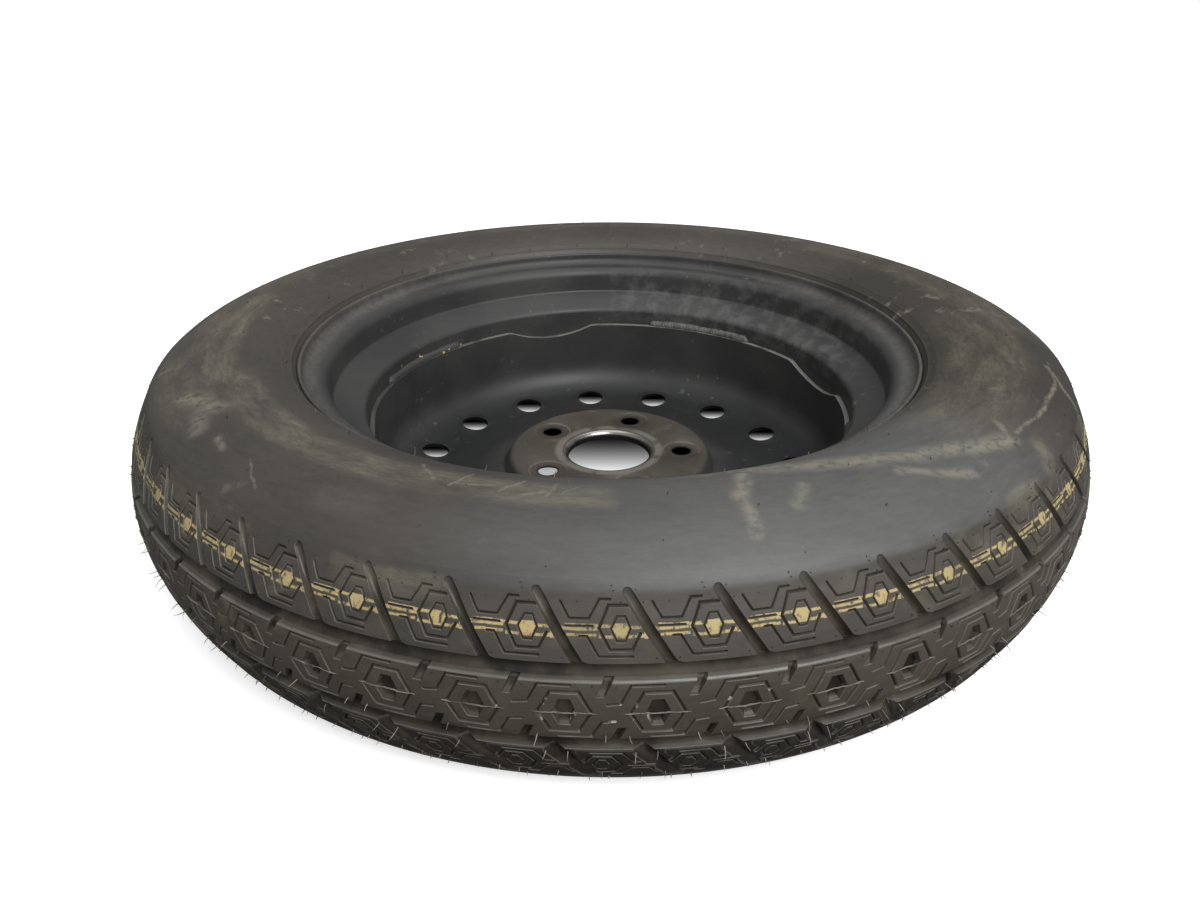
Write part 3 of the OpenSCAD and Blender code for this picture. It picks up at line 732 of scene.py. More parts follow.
def hole_shape(xy, ring, radii, values):
    """A value by the distance from the nearest hole's centre, zero beyond the last radius."""
    rho, angle = np.hypot(*xy.T), np.arctan2(xy[:, 1], xy[:, 0])
    r = np.interp(rho, disc_along, disc_line[:, 0])
    real = np.stack([r * np.cos(angle), r * np.sin(angle)], 1)
    ring_r, count, turn = ring
    a = np.radians(turn) + np.arange(count) * 2 * np.pi / count
    centres = ring_r * np.stack([np.cos(a), np.sin(a)], 1)
    away = np.min(np.linalg.norm(real[:, None] - centres, axis=2), axis=1)
    away = np.where(rho > disc_along[-2], 1e3, away)
    return np.interp(away, radii, values, right=0)


def circle(radius, n, start=0.0):
    """n points of a circle in the drawing."""
    a = start + np.linspace(0, 2 * np.pi, n, endpoint=False)
    return radius * np.stack([np.cos(a), np.sin(a)], 1)


# %% Draw and press the disc
NUT_RING, VENT_RING = (PCD / 2, NUTS, 0), (VENT_RING_R, VENTS, VENT_TURN)
disc_sheet = Drawing()
around = np.linspace(0, 2 * np.pi, 321)[:-1]
disc_sheet.add(rim_edge(around)[:, None] * circle(1, 320), True, step=9)
for rho in disc_along[0:17]:
    disc_sheet.add(circle(rho, 96), True, step=9)
for rho in disc_along[17:46:2]:
    disc_sheet.add(circle(rho, 160), True, step=9)
for i in range(NUTS):
    for r in (NUT_R, NUT_SEAT_R, COIN_R - 2.0, COIN_R):
        disc_sheet.add(hole_ring(PCD / 2, 2 * np.pi * i / NUTS, r, 40), True, step=9)
for i in range(VENTS):
    for r in (VENT_R, VENT_R + 0.6, VENT_R + 1.5, VENT_DISH_R - 1.5, VENT_DISH_R):
        vent_angle = math.radians(VENT_TURN) + 2 * np.pi * i / VENTS
        disc_sheet.add(hole_ring(VENT_RING_R, vent_angle, r, 48), True, step=9)
FILL_ROUND, FILL_OUT = 5.2, 4.4
fill = np.vstack([circle(r, int(2 * np.pi * min(r, 175) / FILL_ROUND), r)
                  for r in np.arange(96, RISE_END - 3, FILL_OUT)])
drawn = np.array(disc_sheet.points)
away = np.array([np.min(np.linalg.norm(drawn - p, axis=1)) for p in fill])
in_scallop = np.hypot(*fill.T) > rim_edge(np.arctan2(fill[:, 1], fill[:, 0])) - 2
disc_sheet.points += fill[(away > 2.0) & ~in_scallop].tolist()
disc_flat, disc_faces = disc_sheet.triangles()
middle = disc_flat[disc_faces].mean(axis=1)
rho, angle = np.hypot(*middle.T), np.arctan2(middle[:, 1], middle[:, 0])
keep = (rho > disc_along[0] * np.cos(np.pi / 96)) & (rho < rim_edge(angle))
keep &= hole_shape(middle, NUT_RING, [NUT_R * 0.997, NUT_R * 0.998], [1, 0]) < 0.5
keep &= hole_shape(middle, VENT_RING, [VENT_R * 0.997, VENT_R * 0.998], [1, 0]) < 0.5
disc_faces = disc_faces[keep]
used = np.unique(disc_faces)
renumber = np.full(len(disc_flat), -1)
renumber[used] = np.arange(len(used))
disc_flat, disc_faces = disc_flat[used], renumber[disc_faces]
coin = hole_shape(disc_flat, NUT_RING, [COIN_R - 2.0, COIN_R], [1, 0])
seat = hole_shape(disc_flat, NUT_RING, [NUT_R, NUT_SEAT_R], [DISC_T / 2, 0])
rho, angle = np.hypot(*disc_flat.T), np.arctan2(disc_flat[:, 1], disc_flat[:, 0])
# Round each vent hole the sheet is pressed to a flat seat, which leans with the bend
flat_r, _, flat_z = np.moveaxis(disc_place(rho, 0 * rho, 0), -1, 0)
lean = VENT_RISE * (flat_r - VENT_RING_R + VENT_R) / (2 * VENT_R)
dish = (flat_z - CROWN_MID - lean) * hole_shape(disc_flat, VENT_RING, [VENT_R + 1.5, VENT_DISH_R], [1, 0])
# A mask of the vent and nut hole walls, for the painted shade on them
hole = hole_shape(disc_flat, VENT_RING, [VENT_R, VENT_R + 0.6], [1, 0])
hole += hole_shape(disc_flat, NUT_RING, [NUT_R, NUT_R + 0.5], [1, 0])
upper = disc_place(rho, angle, DISC_T / 2 - coin * COIN_DEPTH - dish)
lower = disc_place(rho, angle, -DISC_T / 2 + seat - dish)
links = np.sort(np.concatenate([disc_faces[:, [0, 1]], disc_faces[:, [1, 2]], disc_faces[:, [2, 0]]]), axis=1)
links, uses = np.unique(links, axis=0, return_counts=True)
border = links[uses == 1]
count = len(disc_flat)
sides = np.stack([border[:, 0], border[:, 1], border[:, 1] + count, border[:, 0] + count], 1)
outer = (rho > rim_edge(angle) - 0.05).astype(float)
disc = add_piece("pressed_disc", np.vstack([upper, lower]),
                 disc_faces.tolist() + (disc_faces[:, ::-1] + count).tolist() + sides.tolist(), sharp=40,
                 border=np.tile(outer, 2), hole=np.tile(hole, 2), coin=np.tile(coin, 2))
print("disc drawing:", count, "points, hole edges:", len(border))
EDGE_ROUND, EDGE_ANGLE = 0.5, 50
rounding = disc.modifiers.new("rounding", "BEVEL")
rounding.width, rounding.segments = EDGE_ROUND * MM, 2
rounding.limit_method, rounding.angle_limit = "ANGLE", math.radians(EDGE_ANGLE)
for piece, node in ((rim, "rim"), (disc, "wheel_disc")):
    rework(piece.data, turn_outwards)
    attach(piece, "wheel")
    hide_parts(node)

# %% [markdown]
# ## Weld beads
#
# Four fillet welds hold the disc in the rim. A robot welds them in one pass each, and the metal
# freezes in small overlapping waves. Each bead is a quarter ellipse carried along its arc, with
# waves that bend backwards over its face and a rounded start and end.

# %% The weld beads
WELD_ARC, WELD_H, WELD_W = 31.0, 5.4, 4.4
WELD_WAVE = 3.1


def weld(start, seed):
    """One bead: a quarter ellipse of width w(a) and height h(a), with a wave every 3 mm along it."""
    along = np.linspace(0, 1, 190)[:, None]
    turn = np.radians(np.linspace(0, 90, 11))[None, :]
    distance = along * math.radians(WELD_ARC) * WELL_R
    wave = np.abs(np.sin(np.pi * (distance / WELD_WAVE - 0.35 * np.sin(turn * 2))))
    wander = 0.05 * np.sin(distance / 9 + seed) + 0.04 * np.sin(distance / 4.1 + 2 * seed)
    ends = np.clip(np.minimum(distance, distance[-1] - distance) / 4.5, 0.02, 1)
    size = (0.84 + wander + 0.07 * wave) * np.sqrt(ends * (2 - ends))
    radius = np.hstack([WELL_R - 0.1 - WELD_W * size * np.cos(turn), np.full((190, 1), WELL_R - 0.1)])
    height = np.hstack([EDGE_Z + 0.05 + WELD_H * size * np.sin(turn), np.full((190, 1), EDGE_Z + 0.05)])
    angle = math.radians(start) + distance / WELL_R
    points = np.stack([radius * np.cos(angle), radius * np.sin(angle), height], -1)
    caps = [list(range(12)), [189 * 12 + i for i in range(12)]]
    return points.reshape(-1, 3), grid_faces(190, 12, False, True).tolist() + caps


bead_points, bead_faces = [], []
for i in range(4):
    points, faces = weld(SCALLOP_TURN + 45 - WELD_ARC / 2 + 90 * i, i * 1.7)
    bead_faces += [[v + len(points) * i for v in f] for f in faces]
    bead_points.append(points)
welds = add_piece("fillet_welds", np.vstack(bead_points), bead_faces, sharp=60)
rework(welds.data, turn_outwards)
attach(welds, "wheel")
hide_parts("weld_beads")

# %% [markdown]
# ## Node shorthand
#
# A material is a graph of small steps. These functions write one step each, so that a material
# reads from top to bottom like a recipe. Steps that several materials share are node groups
# with named inputs: where a point is on the wheel, a window on a value, a smear between two
# points, and a cloudy mask.

# %% Short names for shader nodes


class Graph:
    """Adds nodes to one tree. A value is a number, a colour or another node's output."""

    def __init__(self, tree):
        self.tree = tree

    def node(self, kind, inputs=(), **settings):
        """A node of a kind with its settings, and its inputs given by name or number."""
        made = self.tree.nodes.new(kind)
        for key, value in settings.items():
            setattr(made, key, value)
        for key, value in dict(inputs).items():
            if isinstance(value, bpy.types.NodeSocket):
                self.tree.links.new(value, made.inputs[key])
            else:
                made.inputs[key].default_value = value
        return made

    def math(self, operation, *values, clamp=False):
        """One step of arithmetic."""
        made = self.node("ShaderNodeMath", enumerate(values), operation=operation, use_clamp=clamp)
        return made.outputs[0]

    def plus(self, first, second, **clamp):
        """The sum of two values."""
        return self.math("ADD", first, second, **clamp)

    def minus(self, first, second):
        """The first value less the second."""
        return self.math("SUBTRACT", first, second)

    def about(self, noise, amount):
        """Noise moved to lie about 0 and made larger or smaller."""
        return self.product(self.minus(noise, 0.5), amount)

    def product(self, *values):
        """All values multiplied."""
        total = values[0]
        for value in values[1:]:
            total = self.math("MULTIPLY", total, value)
        return total

    def most(self, values):
        """The largest of several values."""
        total = values[0]
        for value in values[1:]:
            total = self.math("MAXIMUM", total, value)
        return total

    def axes(self, vector):
        """The x, y and z of a vector."""
        return self.node("ShaderNodeSeparateXYZ", {0: vector}).outputs

    def vector(self, operation, first, second=None, output=0):
        """One step of vector arithmetic. To scale, the second value is a number."""
        inputs = {0: first}
        if second is not None:
            inputs[3 if operation == "SCALE" else 1] = second
        return self.node("ShaderNodeVectorMath", inputs, operation=operation).outputs[output]

    def fade(self, value, low, high, to_low=0.0, to_high=1.0):
        """A smooth step from one value to another."""
        inputs = {"Value": value, "From Min": low, "From Max": high, "To Min": to_low, "To Max": to_high}
        return self.node("ShaderNodeMapRange", inputs, interpolation_type="SMOOTHSTEP").outputs[0]

    def noise(self, vector, scale, detail=3.0, rough=0.55):
        """Cloudy noise about 0.5."""
        inputs = {"Vector": vector, "Scale": scale, "Detail": detail, "Roughness": rough}
        return self.node("ShaderNodeTexNoise", inputs).outputs[0]

    def patches(self, vector, scale, low, high, to_low=0.0, to_high=1.0, detail=3.0):
        """Noise as a soft mask, from one value where it is low to another where it is high."""
        return self.fade(self.noise(vector, scale, detail), low, high, to_low, to_high)

    def blend(self, amount, first, second):
        """The first colour, going over to the second."""
        first, second = [(*v, 1) if isinstance(v, tuple) else v for v in (first, second)]
        return self.node("ShaderNodeMix", {0: amount, 6: first, 7: second}, data_type="RGBA").outputs[2]

    def call(self, group, **inputs):
        """A node group's outputs, with its inputs by name."""
        return self.node("ShaderNodeGroup", inputs, node_tree=group).outputs

    def window(self, value, low, high, soft):
        """1 between two values, with soft sides outside them."""
        return self.call(window, Value=value, Low=low, High=high, Soft=soft)[0]

    def clouds(self, vector, scale, detail, low, high):
        """A cloudy mask: noise of a scale, 0 below one level and 1 above another."""
        return self.call(clouds, Vector=vector, Scale=scale, Detail=detail, Low=low, High=high)[0]

    def value(self, name):
        """A value kept with the mesh's points."""
        return self.node("ShaderNodeAttribute", attribute_name=name).outputs["Fac"]


def new_group(name, inputs, outputs, build):
    """A node group: named inputs and outputs, and a function that links one to the other."""
    tree = bpy.data.node_groups.new(name, "ShaderNodeTree")
    for key, kind in inputs:
        tree.interface.new_socket(key, in_out="INPUT", socket_type="NodeSocket" + kind)
    for key in outputs:
        tree.interface.new_socket(key, in_out="OUTPUT", socket_type="NodeSocketFloat")
    given, result = tree.nodes.new("NodeGroupInput"), tree.nodes.new("NodeGroupOutput")
    for key, socket in zip(outputs, build(Graph(tree), given.outputs)):
        tree.links.new(socket, result.inputs[key])
    return tree


def build_wheel_place(g, given):
    """Turn in degrees from the front, radius and height in mm."""
    parts = g.axes(given["Vector"])
    turn = g.product(g.math("ARCTAN2", parts[0], g.product(parts[1], -1.0)), 180 / math.pi)
    flat = g.plus(g.math("POWER", parts[0], 2.0), g.math("POWER", parts[1], 2.0))
    return turn, g.product(g.math("SQRT", flat), 1000.0), g.product(parts[2], 1000.0)


def build_window(g, given):
    """1 between two values, with soft sides outside them."""
    below = g.minus(given["Low"], given["Soft"])
    above = g.plus(given["High"], given["Soft"])
    rise, fall = g.fade(given["Value"], below, given["Low"]), g.fade(given["Value"], given["High"], above)
    return (g.product(rise, g.minus(1.0, fall)),)


def build_smear(g, given):
    """1 on the line from the start to the end, fading to 0 a width away."""
    point = g.node("ShaderNodeCombineXYZ", {0: given["X"], 1: given["Y"]}).outputs[0]
    way = g.vector("SUBTRACT", given["End"], given["Start"])
    off = g.vector("SUBTRACT", point, given["Start"])
    dots = [g.vector("DOT_PRODUCT", a, way, "Value") for a in (off, way)]
    near = g.vector("SCALE", way, g.math("DIVIDE", *dots, clamp=True))
    return (g.fade(g.vector("DISTANCE", off, near, "Value"), given["Width"], 0.0),)


def build_clouds(g, given):
    """A cloudy mask: noise of a scale, 0 below one level and 1 above another."""
    cloudy = g.noise(given["Vector"], given["Scale"], given["Detail"], 0.6)
    return (g.fade(cloudy, given["Low"], given["High"]),)


wheel_place = new_group("wheel_place", [("Vector", "Vector")], ["Turn", "Radius", "Height"],
                        build_wheel_place)
window = new_group("window", [(k, "Float") for k in ("Value", "Low", "High", "Soft")], ["Mask"], build_window)
clouds = new_group("clouds", [("Vector", "Vector"), ("Scale", "Float"), ("Detail", "Float"), ("Low", "Float"),
                              ("High", "Float")], ["Mask"], build_clouds)
smear = new_group("smear", [("X", "Float"), ("Y", "Float"), ("Start", "Vector"), ("End", "Vector"),
                            ("Width", "Float")], ["Mask"], build_smear)


def new_material(name):
    """An empty material, its graph, and the object's own coordinates in metres."""
    material = bpy.data.materials.new(name)
    material.use_nodes = True
    material.node_tree.nodes.clear()
    g = Graph(material.node_tree)
    return material, g, g.node("ShaderNodeTexCoord").outputs["Object"]


def finish_material(g, bump, **inputs):
    """A Principled shader with its inputs by name and a bump of (height, distance in mm, strength)."""
    height, distance, strength = bump
    relief = g.node("ShaderNodeBump", {"Height": height, "Distance": distance * MM, "Strength": strength})
    inputs = {"Normal": relief.outputs[0], **{key.replace("_", " "): value for key, value in inputs.items()}}
    shader = g.node("ShaderNodeBsdfPrincipled", inputs).outputs[0]
    g.node("ShaderNodeOutputMaterial", {"Surface": shader})


# %% [markdown]
# ## Floor and light
#
# The wheel lies on a plain white floor. A large soft light stands in front, high to the right,
# and a weak one hangs overhead. The sky is brighter in front than behind. Where the camera sees
# the sky it is white.

# %% Floor and light
FLOOR_Z, FLOOR_HALF = -SECTION_HALF - 0.05, 15000


def area_light(name, at, aim, size, power):
    """A square soft light at a place, turned to look at a point."""
    lamp = bpy.data.lights.new(name, "AREA")
    lamp.shape, lamp.size, lamp.energy = "SQUARE", size, power
    holder = bpy.data.objects.new(name, lamp)
    bpy.context.collection.objects.link(holder)
    holder.location = at
    holder.rotation_euler = (Vector(aim) - Vector(at)).to_track_quat("-Z", "Y").to_euler()


floor_corners = [(x * FLOOR_HALF, y * FLOOR_HALF, FLOOR_Z) for x, y in ((-1, -1), (1, -1), (1, 1), (-1, 1))]
floor = add_piece("floor", floor_corners, [(0, 1, 2, 3)])
world = bpy.data.worlds.new("studio")
bpy.context.scene.world = world
world.use_nodes = True
sky = Graph(world.node_tree)
ahead = sky.axes(sky.node("ShaderNodeTexCoord").outputs["Generated"])[1]
level = sky.node("ShaderNodeMapRange", {"Value": ahead, "From Min": -0.5, "From Max": 0.9, "To Min": 0.66,
                                        "To Max": 0.24}).outputs[0]
shown = sky.math("MAXIMUM", level, sky.node("ShaderNodeLightPath").outputs["Is Camera Ray"])
background = world.node_tree.nodes["Background"].inputs
world.node_tree.links.new(shown, background["Strength"])
background["Color"].default_value = (1, 1, 1, 1)
area_light("key", (1.0, -1.7, 1.9), (0, -0.1, 0), 1.8, 62)
area_light("overhead", (0.1, 0.3, 2.4), (0, 0, 0), 2.0, 18)
bpy.context.scene.view_settings.view_transform = "Standard"

# %% [markdown]
# ## The floor's material
#
# The floor is white where the camera sees it outside the tyre. Through the bore and the vents it
# sees light that falls off from front to back. So the floor carries that light as painted light, a
# glowing pattern: a point of the floor is followed up its line of sight to the level of the holes,
# and it glows by how far forward it lies in its hole. Under the wheel the camera sees the floor
# painted dark, a painted shadow.

# %% The floor's material
VENT_GLOW, BORE_GLOW, NUT_GLOW, GLOW_POWER = 1.3, 0.84, 0.55, 2.45
material, g, at = new_material("white_floor")
floor_x, floor_y = g.axes(g.vector("SCALE", at, 1000.0))[:2]
seen = g.node("ShaderNodeLightPath").outputs["Is Camera Ray"]


def up_the_sight(level):
    """x, y and radius in mm where the line of sight to a floor point passes a level."""
    eye_y, eye_z = CAMERA_AT[1] * 1000, CAMERA_AT[2] * 1000
    share = (eye_z - level) / (eye_z - FLOOR_Z)
    x = g.product(floor_x, share)
    y = g.plus(g.product(floor_y, share), eye_y * (1 - share))
    return x, y, g.math("SQRT", g.plus(g.product(x, x), g.product(y, y)))


def falling(y, half, front):
    """Light at the front of a hole, falling towards its back."""
    share = g.math("DIVIDE", g.minus(half, y), 2.0 * half, clamp=True)
    return g.product(g.math("POWER", share, GLOW_POWER), front)


# Painted light: the floor glows where it is seen through the vents, the bore and the front nut holes,
# brightest at the front of each hole
x, y, radius = up_the_sight(CROWN_MID)
step = 2 * math.pi / VENTS
first = math.radians(VENT_TURN)
count = g.math("ROUND", g.math("DIVIDE", g.minus(g.math("ARCTAN2", y, x), first), step))
centre = g.product(g.math("SINE", g.plus(g.product(count, step), first)), VENT_RING_R)
vent_light = g.product(falling(g.minus(y, centre), VENT_R, VENT_GLOW), g.fade(radius, 135.0, 141.0))
x, y, middle = up_the_sight(PAD_MID)
nut_share = g.fade(y, -18.0, -24.0, 0.0, NUT_GLOW)
bore_light = g.product(falling(y, BORE_R, BORE_GLOW),
                       g.math("MAXIMUM", g.fade(middle, 50.0, 44.0), nut_share))
inside = g.plus(g.product(bore_light, g.fade(radius, 100.0, 90.0)),
                g.product(vent_light, g.fade(radius, 90.0, 100.0)))
outside = g.fade(radius, 240.0, 360.0, 0.0, 0.62)
glow = g.plus(g.product(inside, g.fade(radius, 230.0, 210.0)), outside)
# Painted shadow: for the camera the floor is dark under the wheel and white beyond it
tone = g.plus(0.14, g.product(seen, g.fade(radius, 230.0, 320.0, -0.12, 0.72)))
diffuse = g.node("ShaderNodeBsdfDiffuse", {0: tone}).outputs[0]
light = g.node("ShaderNodeEmission", {"Strength": g.product(glow, seen)}).outputs[0]
above = g.node("ShaderNodeAddShader", {0: diffuse, 1: light}).outputs[0]
# From below the floor is clear, so that the wheel's outer side can be looked at
below = g.node("ShaderNodeBsdfTransparent").outputs[0]
from_below = g.node("ShaderNodeNewGeometry").outputs["Backfacing"]
sides = g.node("ShaderNodeMixShader", {0: from_below, 1: above, 2: below}).outputs[0]
g.node("ShaderNodeOutputMaterial", {"Surface": sides})
floor.data.materials.append(material)
print("floor:", len(g.tree.nodes), "nodes")

# %% [markdown]
# ## Rubber
#
# Tyre rubber is black with carbon, but a tyre that was stored is grey: a waxy bloom on the
# sidewall, brown dust towards the sides, and pale smears where it was dragged along something.
# The smears are placed by the turn round the wheel and the distance down the sidewall. In the
# grooves the rubber comes off smooth steel, so it shines more than the blasted rib tops. Light
# and shade are painted in too: the sidewall lighter at the front and darker at the sides, painted
# shade on the lower tread and in the slits and grooves, and painted highlights along the edges
# of the slits and on the ribs' rounded edges.

# %% The rubber
material, g, at = new_material("tyre_rubber")
turn, radius, height = g.call(wheel_place, Vector=at)[:3]
across, cut = g.value("across"), g.value("cut")
down = g.minus(g.math("ABSOLUTE", across), SHOULDER_Z)
upper = g.fade(across, -1.0, 1.0)
side = g.fade(g.math("ABSOLUTE", turn), 18.0, 75.0)
on_wall = g.fade(down, 0.5, 4.0)
broad = g.noise(at, 9.0, 4.0)
grain = g.noise(at, 260.0, 3.0)
speck = g.clouds(at, 85.0, 4.0, 0.58, 0.72)

MM_PER_DEGREE = 5.2
shaken = g.plus(down, g.about(g.noise(at, 40.0), 9.0))
shaken_round = g.plus(g.product(turn, MM_PER_DEGREE), g.about(g.noise(at, 55.0), 9.0))
# Smears: first turn and distance, last turn and distance, half width, strength
smears = [
    (16.5, 98, 33, 66, 11.0, 0.85), (33, 66, 49, 33, 9.0, 0.85), (33, 49, 39.5, 28.5, 5.0, 0.7),
    (49, 33, 52, 46, 3.2, 0.6), (13.5, 28, 14.2, 60, 4.6, 0.8), (14.2, 60, 17, 92, 7.0, 0.9),
    (19, 44, 21.5, 60, 5.5, 0.6), (50.5, 34, 69, 23, 2.2, 0.75), (69, 23, 76, 26, 1.7, 0.5),
    (67.5, 3, 69, 16, 3.2, 0.7), (69, 16, 74, 27, 3.0, 0.6), (50.5, 4, 52, 17, 9.0, 0.4),
    (-62, 34, -56, 50, 12.0, 0.7), (-58, 42, -52.5, 30, 9.0, 0.55), (-49, 37, -46, 32, 3.5, 0.6),
    (-41.5, 36, -37, 22, 1.2, 0.4), (-23.5, 85, -20, 70, 1.6, 0.7), (-18, 66, -16.6, 84, 1.5, 0.7),
    (-17.3, 70, -13, 73, 1.5, 0.6), (-12, 68, -10.2, 84, 1.6, 0.75), (-9.6, 66, -7.2, 72, 2.2, 0.7),
    (-6.8, 66, -6, 84, 1.4, 0.6), (-5, 70, -3.6, 78, 1.4, 0.5), (8, 94, 16, 98, 5.0, 0.5),
    (20, 92, 22, 104, 3.0, 0.6),
]
marks = []
for a0, v0, a1, v1, width, strength in smears:
    start, end = (a0 * MM_PER_DEGREE, v0, 0), (a1 * MM_PER_DEGREE, v1, 0)
    mask = g.call(smear, X=shaken_round, Y=shaken, Start=start, End=end, Width=1.25 * width)[0]
    marks.append(g.product(mask, strength))
worn = g.fade(g.noise(at, 140.0, 6.0, 0.75), 0.34, 0.56)
smeared = g.product(g.most(marks), worn, upper)
# Bands of dust: first and last turn, first and last distance, softness of both, strength
bands = [
    (-24, -15, -7, 2, 4, 0.7), (-52, -36, -5, 3, 5, 0.5), (-150, -88, 2, 18, 8, 0.7),
    (-124, -84, 30, 46, 8, 0.7), (88, 135, 20, 62, 18, 0.55), (112, 178, 2, 20, 9, 0.6),
    (-100, -66, 52, 64, 10, 0.85),
    (-66, -2, 62, 76, 12, 0.8), (42, 47.5, -1, 6, 3, 0.9), (50, 92, 52, 84, 22, 0.6),
    (-86, -60, 22, 44, 20, 0.5), (120, 178, 30, 56, 14, 0.4), (-178, -92, 24, 56, 12, 0.35),
    (-30, -24, 26, 40, 6, 0.2),
]
dusty, shaken_turn = [], g.plus(turn, g.about(broad, 10.0))
for a0, a1, v0, v1, soft, strength in bands:
    turned_in = g.window(shaken_turn, a0, a1, soft / 2.5)
    dusty.append(g.product(turned_in, g.window(shaken, v0, v1, soft), strength))
# Coordinates that are pressed together round the wheel draw noise out to streaks
outward = g.vector("NORMALIZE", g.vector("MULTIPLY", at, (1, 1, 0)))
depth = g.node("ShaderNodeCombineXYZ", {2: g.product(down, MM)}).outputs[0]
streaks = g.vector("ADD", g.vector("SCALE", outward, 0.09), depth)
cloud = g.clouds(streaks, 75.0, 7.0, 0.22, 0.78)
swept = g.fade(g.noise(streaks, 420.0, 5.0, 0.7), 0.36, 0.6, 0.45, 1.0)
dust = g.product(g.most(dusty), cloud, swept, upper)
turn_away = g.math("ABSOLUTE", turn)
loose = g.product(speck, g.patches(at, 14.0, 0.45, 0.62),
                  g.fade(turn_away, 20.0, 80.0, 0.1, 0.5), on_wall)

# Painted light and shade: the sidewall is lighter at the front and darker and browner towards the sides
wall_colour_with_painted_light = g.blend(side, (0.064, 0.0635, 0.0615), (0.047, 0.0405, 0.0325))
# Sectors painted lighter or darker, as painted light and shade: first and last turn, softness, colour
for a0, a1, soft, colour in ((15, 40, 14, (0.074, 0.0735, 0.071)), (66, 118, 16, (0.027, 0.0232, 0.0178)),
                             (-75, -22, 24, (0.044, 0.0393, 0.0338))):
    wall_colour_with_painted_light = g.blend(g.window(turn, a0, a1, soft), wall_colour_with_painted_light, colour)
tread_colour = g.blend(g.noise(at, 22.0, 4.0), (0.037, 0.033, 0.027), (0.062, 0.056, 0.046))
tread_colour = g.blend(g.window(across, -24.0, 14.0, 5.0), tread_colour, (0.058, 0.050, 0.038))
# Painted shade: the lower tread, below the middle rib, is painted much darker
tread_colour = g.blend(g.fade(across, -24.0, -34.0, 0.0, 0.9), tread_colour, (0.016, 0.011, 0.006))
skin_colour = g.blend(on_wall, tread_colour, wall_colour_with_painted_light)
shade = g.plus(g.fade(broad, 0.3, 0.7, 0.86, 1.1), g.about(g.noise(streaks, 240.0, 6.0, 0.7), 0.75))
shade = g.node("ShaderNodeCombineColor", {0: shade, 1: shade, 2: shade}).outputs[0]
skin_colour = g.node("ShaderNodeMix", {0: 1.0, 6: skin_colour, 7: shade}, data_type="RGBA",
                     blend_type="MULTIPLY").outputs[2]
skin_colour = g.blend(g.product(dust, 0.8), skin_colour, (0.185, 0.162, 0.115))
skin_colour = g.blend(g.product(smeared, 0.85), skin_colour, (0.205, 0.187, 0.143))
skin_colour = g.blend(loose, skin_colour, (0.21, 0.19, 0.15))
# Painted shade: slits and deep grooves are painted darker, towards black
lines = g.product(g.fade(cut, 0.5, 1.1), 0.32)
deep = g.product(g.fade(cut, 1.7, 3.0), 0.75)
skin_colour = g.blend(g.math("MAXIMUM", lines, deep), skin_colour, (0.010, 0.009, 0.008))
# Painted highlight with pale dust: a pale line along the edges of the slits and grooves
edge_highlight_and_dust = g.product(g.window(cut, 0.1, 0.35, 0.09), g.patches(at, 70.0, 0.3, 0.52), 0.8)
skin_colour = g.blend(edge_highlight_and_dust, skin_colour, (0.140, 0.125, 0.098))
# Brown dust settles in the grooves and on the shoulder blocks
in_groove = g.fade(cut, 0.15, 2.5)
settled = g.product(in_groove, g.clouds(at, 30.0, 5.0, 0.35, 0.65), 0.4)
skin_colour = g.blend(settled, skin_colour, (0.13, 0.11, 0.08))
on_tread = g.minus(1.0, on_wall)
powder = g.product(on_tread, g.clouds(at, 48.0, 6.0, 0.52, 0.75),
                   g.fade(turn_away, 5.0, 60.0, 0.3, 0.85))
skin_colour = g.blend(powder, skin_colour, (0.12, 0.105, 0.078))

# %% [markdown]
# A yellow line runs round the upper rib. The maker sprays it on the flat strip of rubber before
# the tyre is moulded, so it breaks up over each slit and gathers into a filled hexagon once a
# pitch. It is drawn as windows in the flat coordinates of one pitch, on rib tops only.

# %% The yellow line
pitch_turn = g.math("DIVIDE", g.minus(g.minus(turn, 90.0), TREAD_TURN), 360 / PITCHES)
pitch_x = g.product(g.minus(g.math("FRACT", g.plus(pitch_turn, 100.0)), 1.0), PITCH)
wavy = g.plus(across, g.about(g.noise(at, 130.0), 1.4))
# Stripes of one pitch: first and last x, first and last height
stripes = [(-46.5, -31.5, 45.0, 45.5), (-46.5, -29, 43.3, 43.9), (-45, -31, 40.7, 41.2),
           (-31.5, -23.5, 44.7, 45.3), (-29, -10, 39.9, 40.5), (-22.6, -14.8, 41.2, 45.8),
           (-13.5, -8, 44.0, 44.6), (-10, -4.5, 40.1, 41.2), (-6.6, -1.0, 39.7, 42.8), (-1.5, 0, 43.3, 44.1)]
painted = []
for x0, x1, z0, z1 in stripes:
    painted.append(g.product(g.window(pitch_x, x0, x1, 0.8), g.window(wavy, z0 - 0.1, z1 + 0.1, 0.55)))
hatch = g.fade(g.noise(g.vector("MULTIPLY", at, (1, 1, 0.35)), 420.0, 3.0), 0.30, 0.50)
yellow = g.product(g.most(painted), hatch, g.fade(cut, 0.35, 0.1),
                   g.patches(at, 16.0, 0.25, 0.5, 0.45, 1.0, detail=2.0))
skin_colour = g.blend(g.product(yellow, 0.88), skin_colour, (0.48, 0.38, 0.17))
# Pale crumbs, like chalk, lie in the slits of the middle rib near the front
chalk = g.product(g.window(across, -6.5, 7.5, 1.0),
                  g.window(g.math("ABSOLUTE", g.minus(turn, 5.0)), -1.0, 13.5, 2.0),
                  g.clouds(at, 150.0, 3.0, 0.57, 0.62), g.clouds(at, 38.0, 1.0, 0.52, 0.6),
                  g.window(cut, 0.3, 2.6, 0.2))
skin_colour = g.blend(chalk, skin_colour, (0.42, 0.40, 0.34))
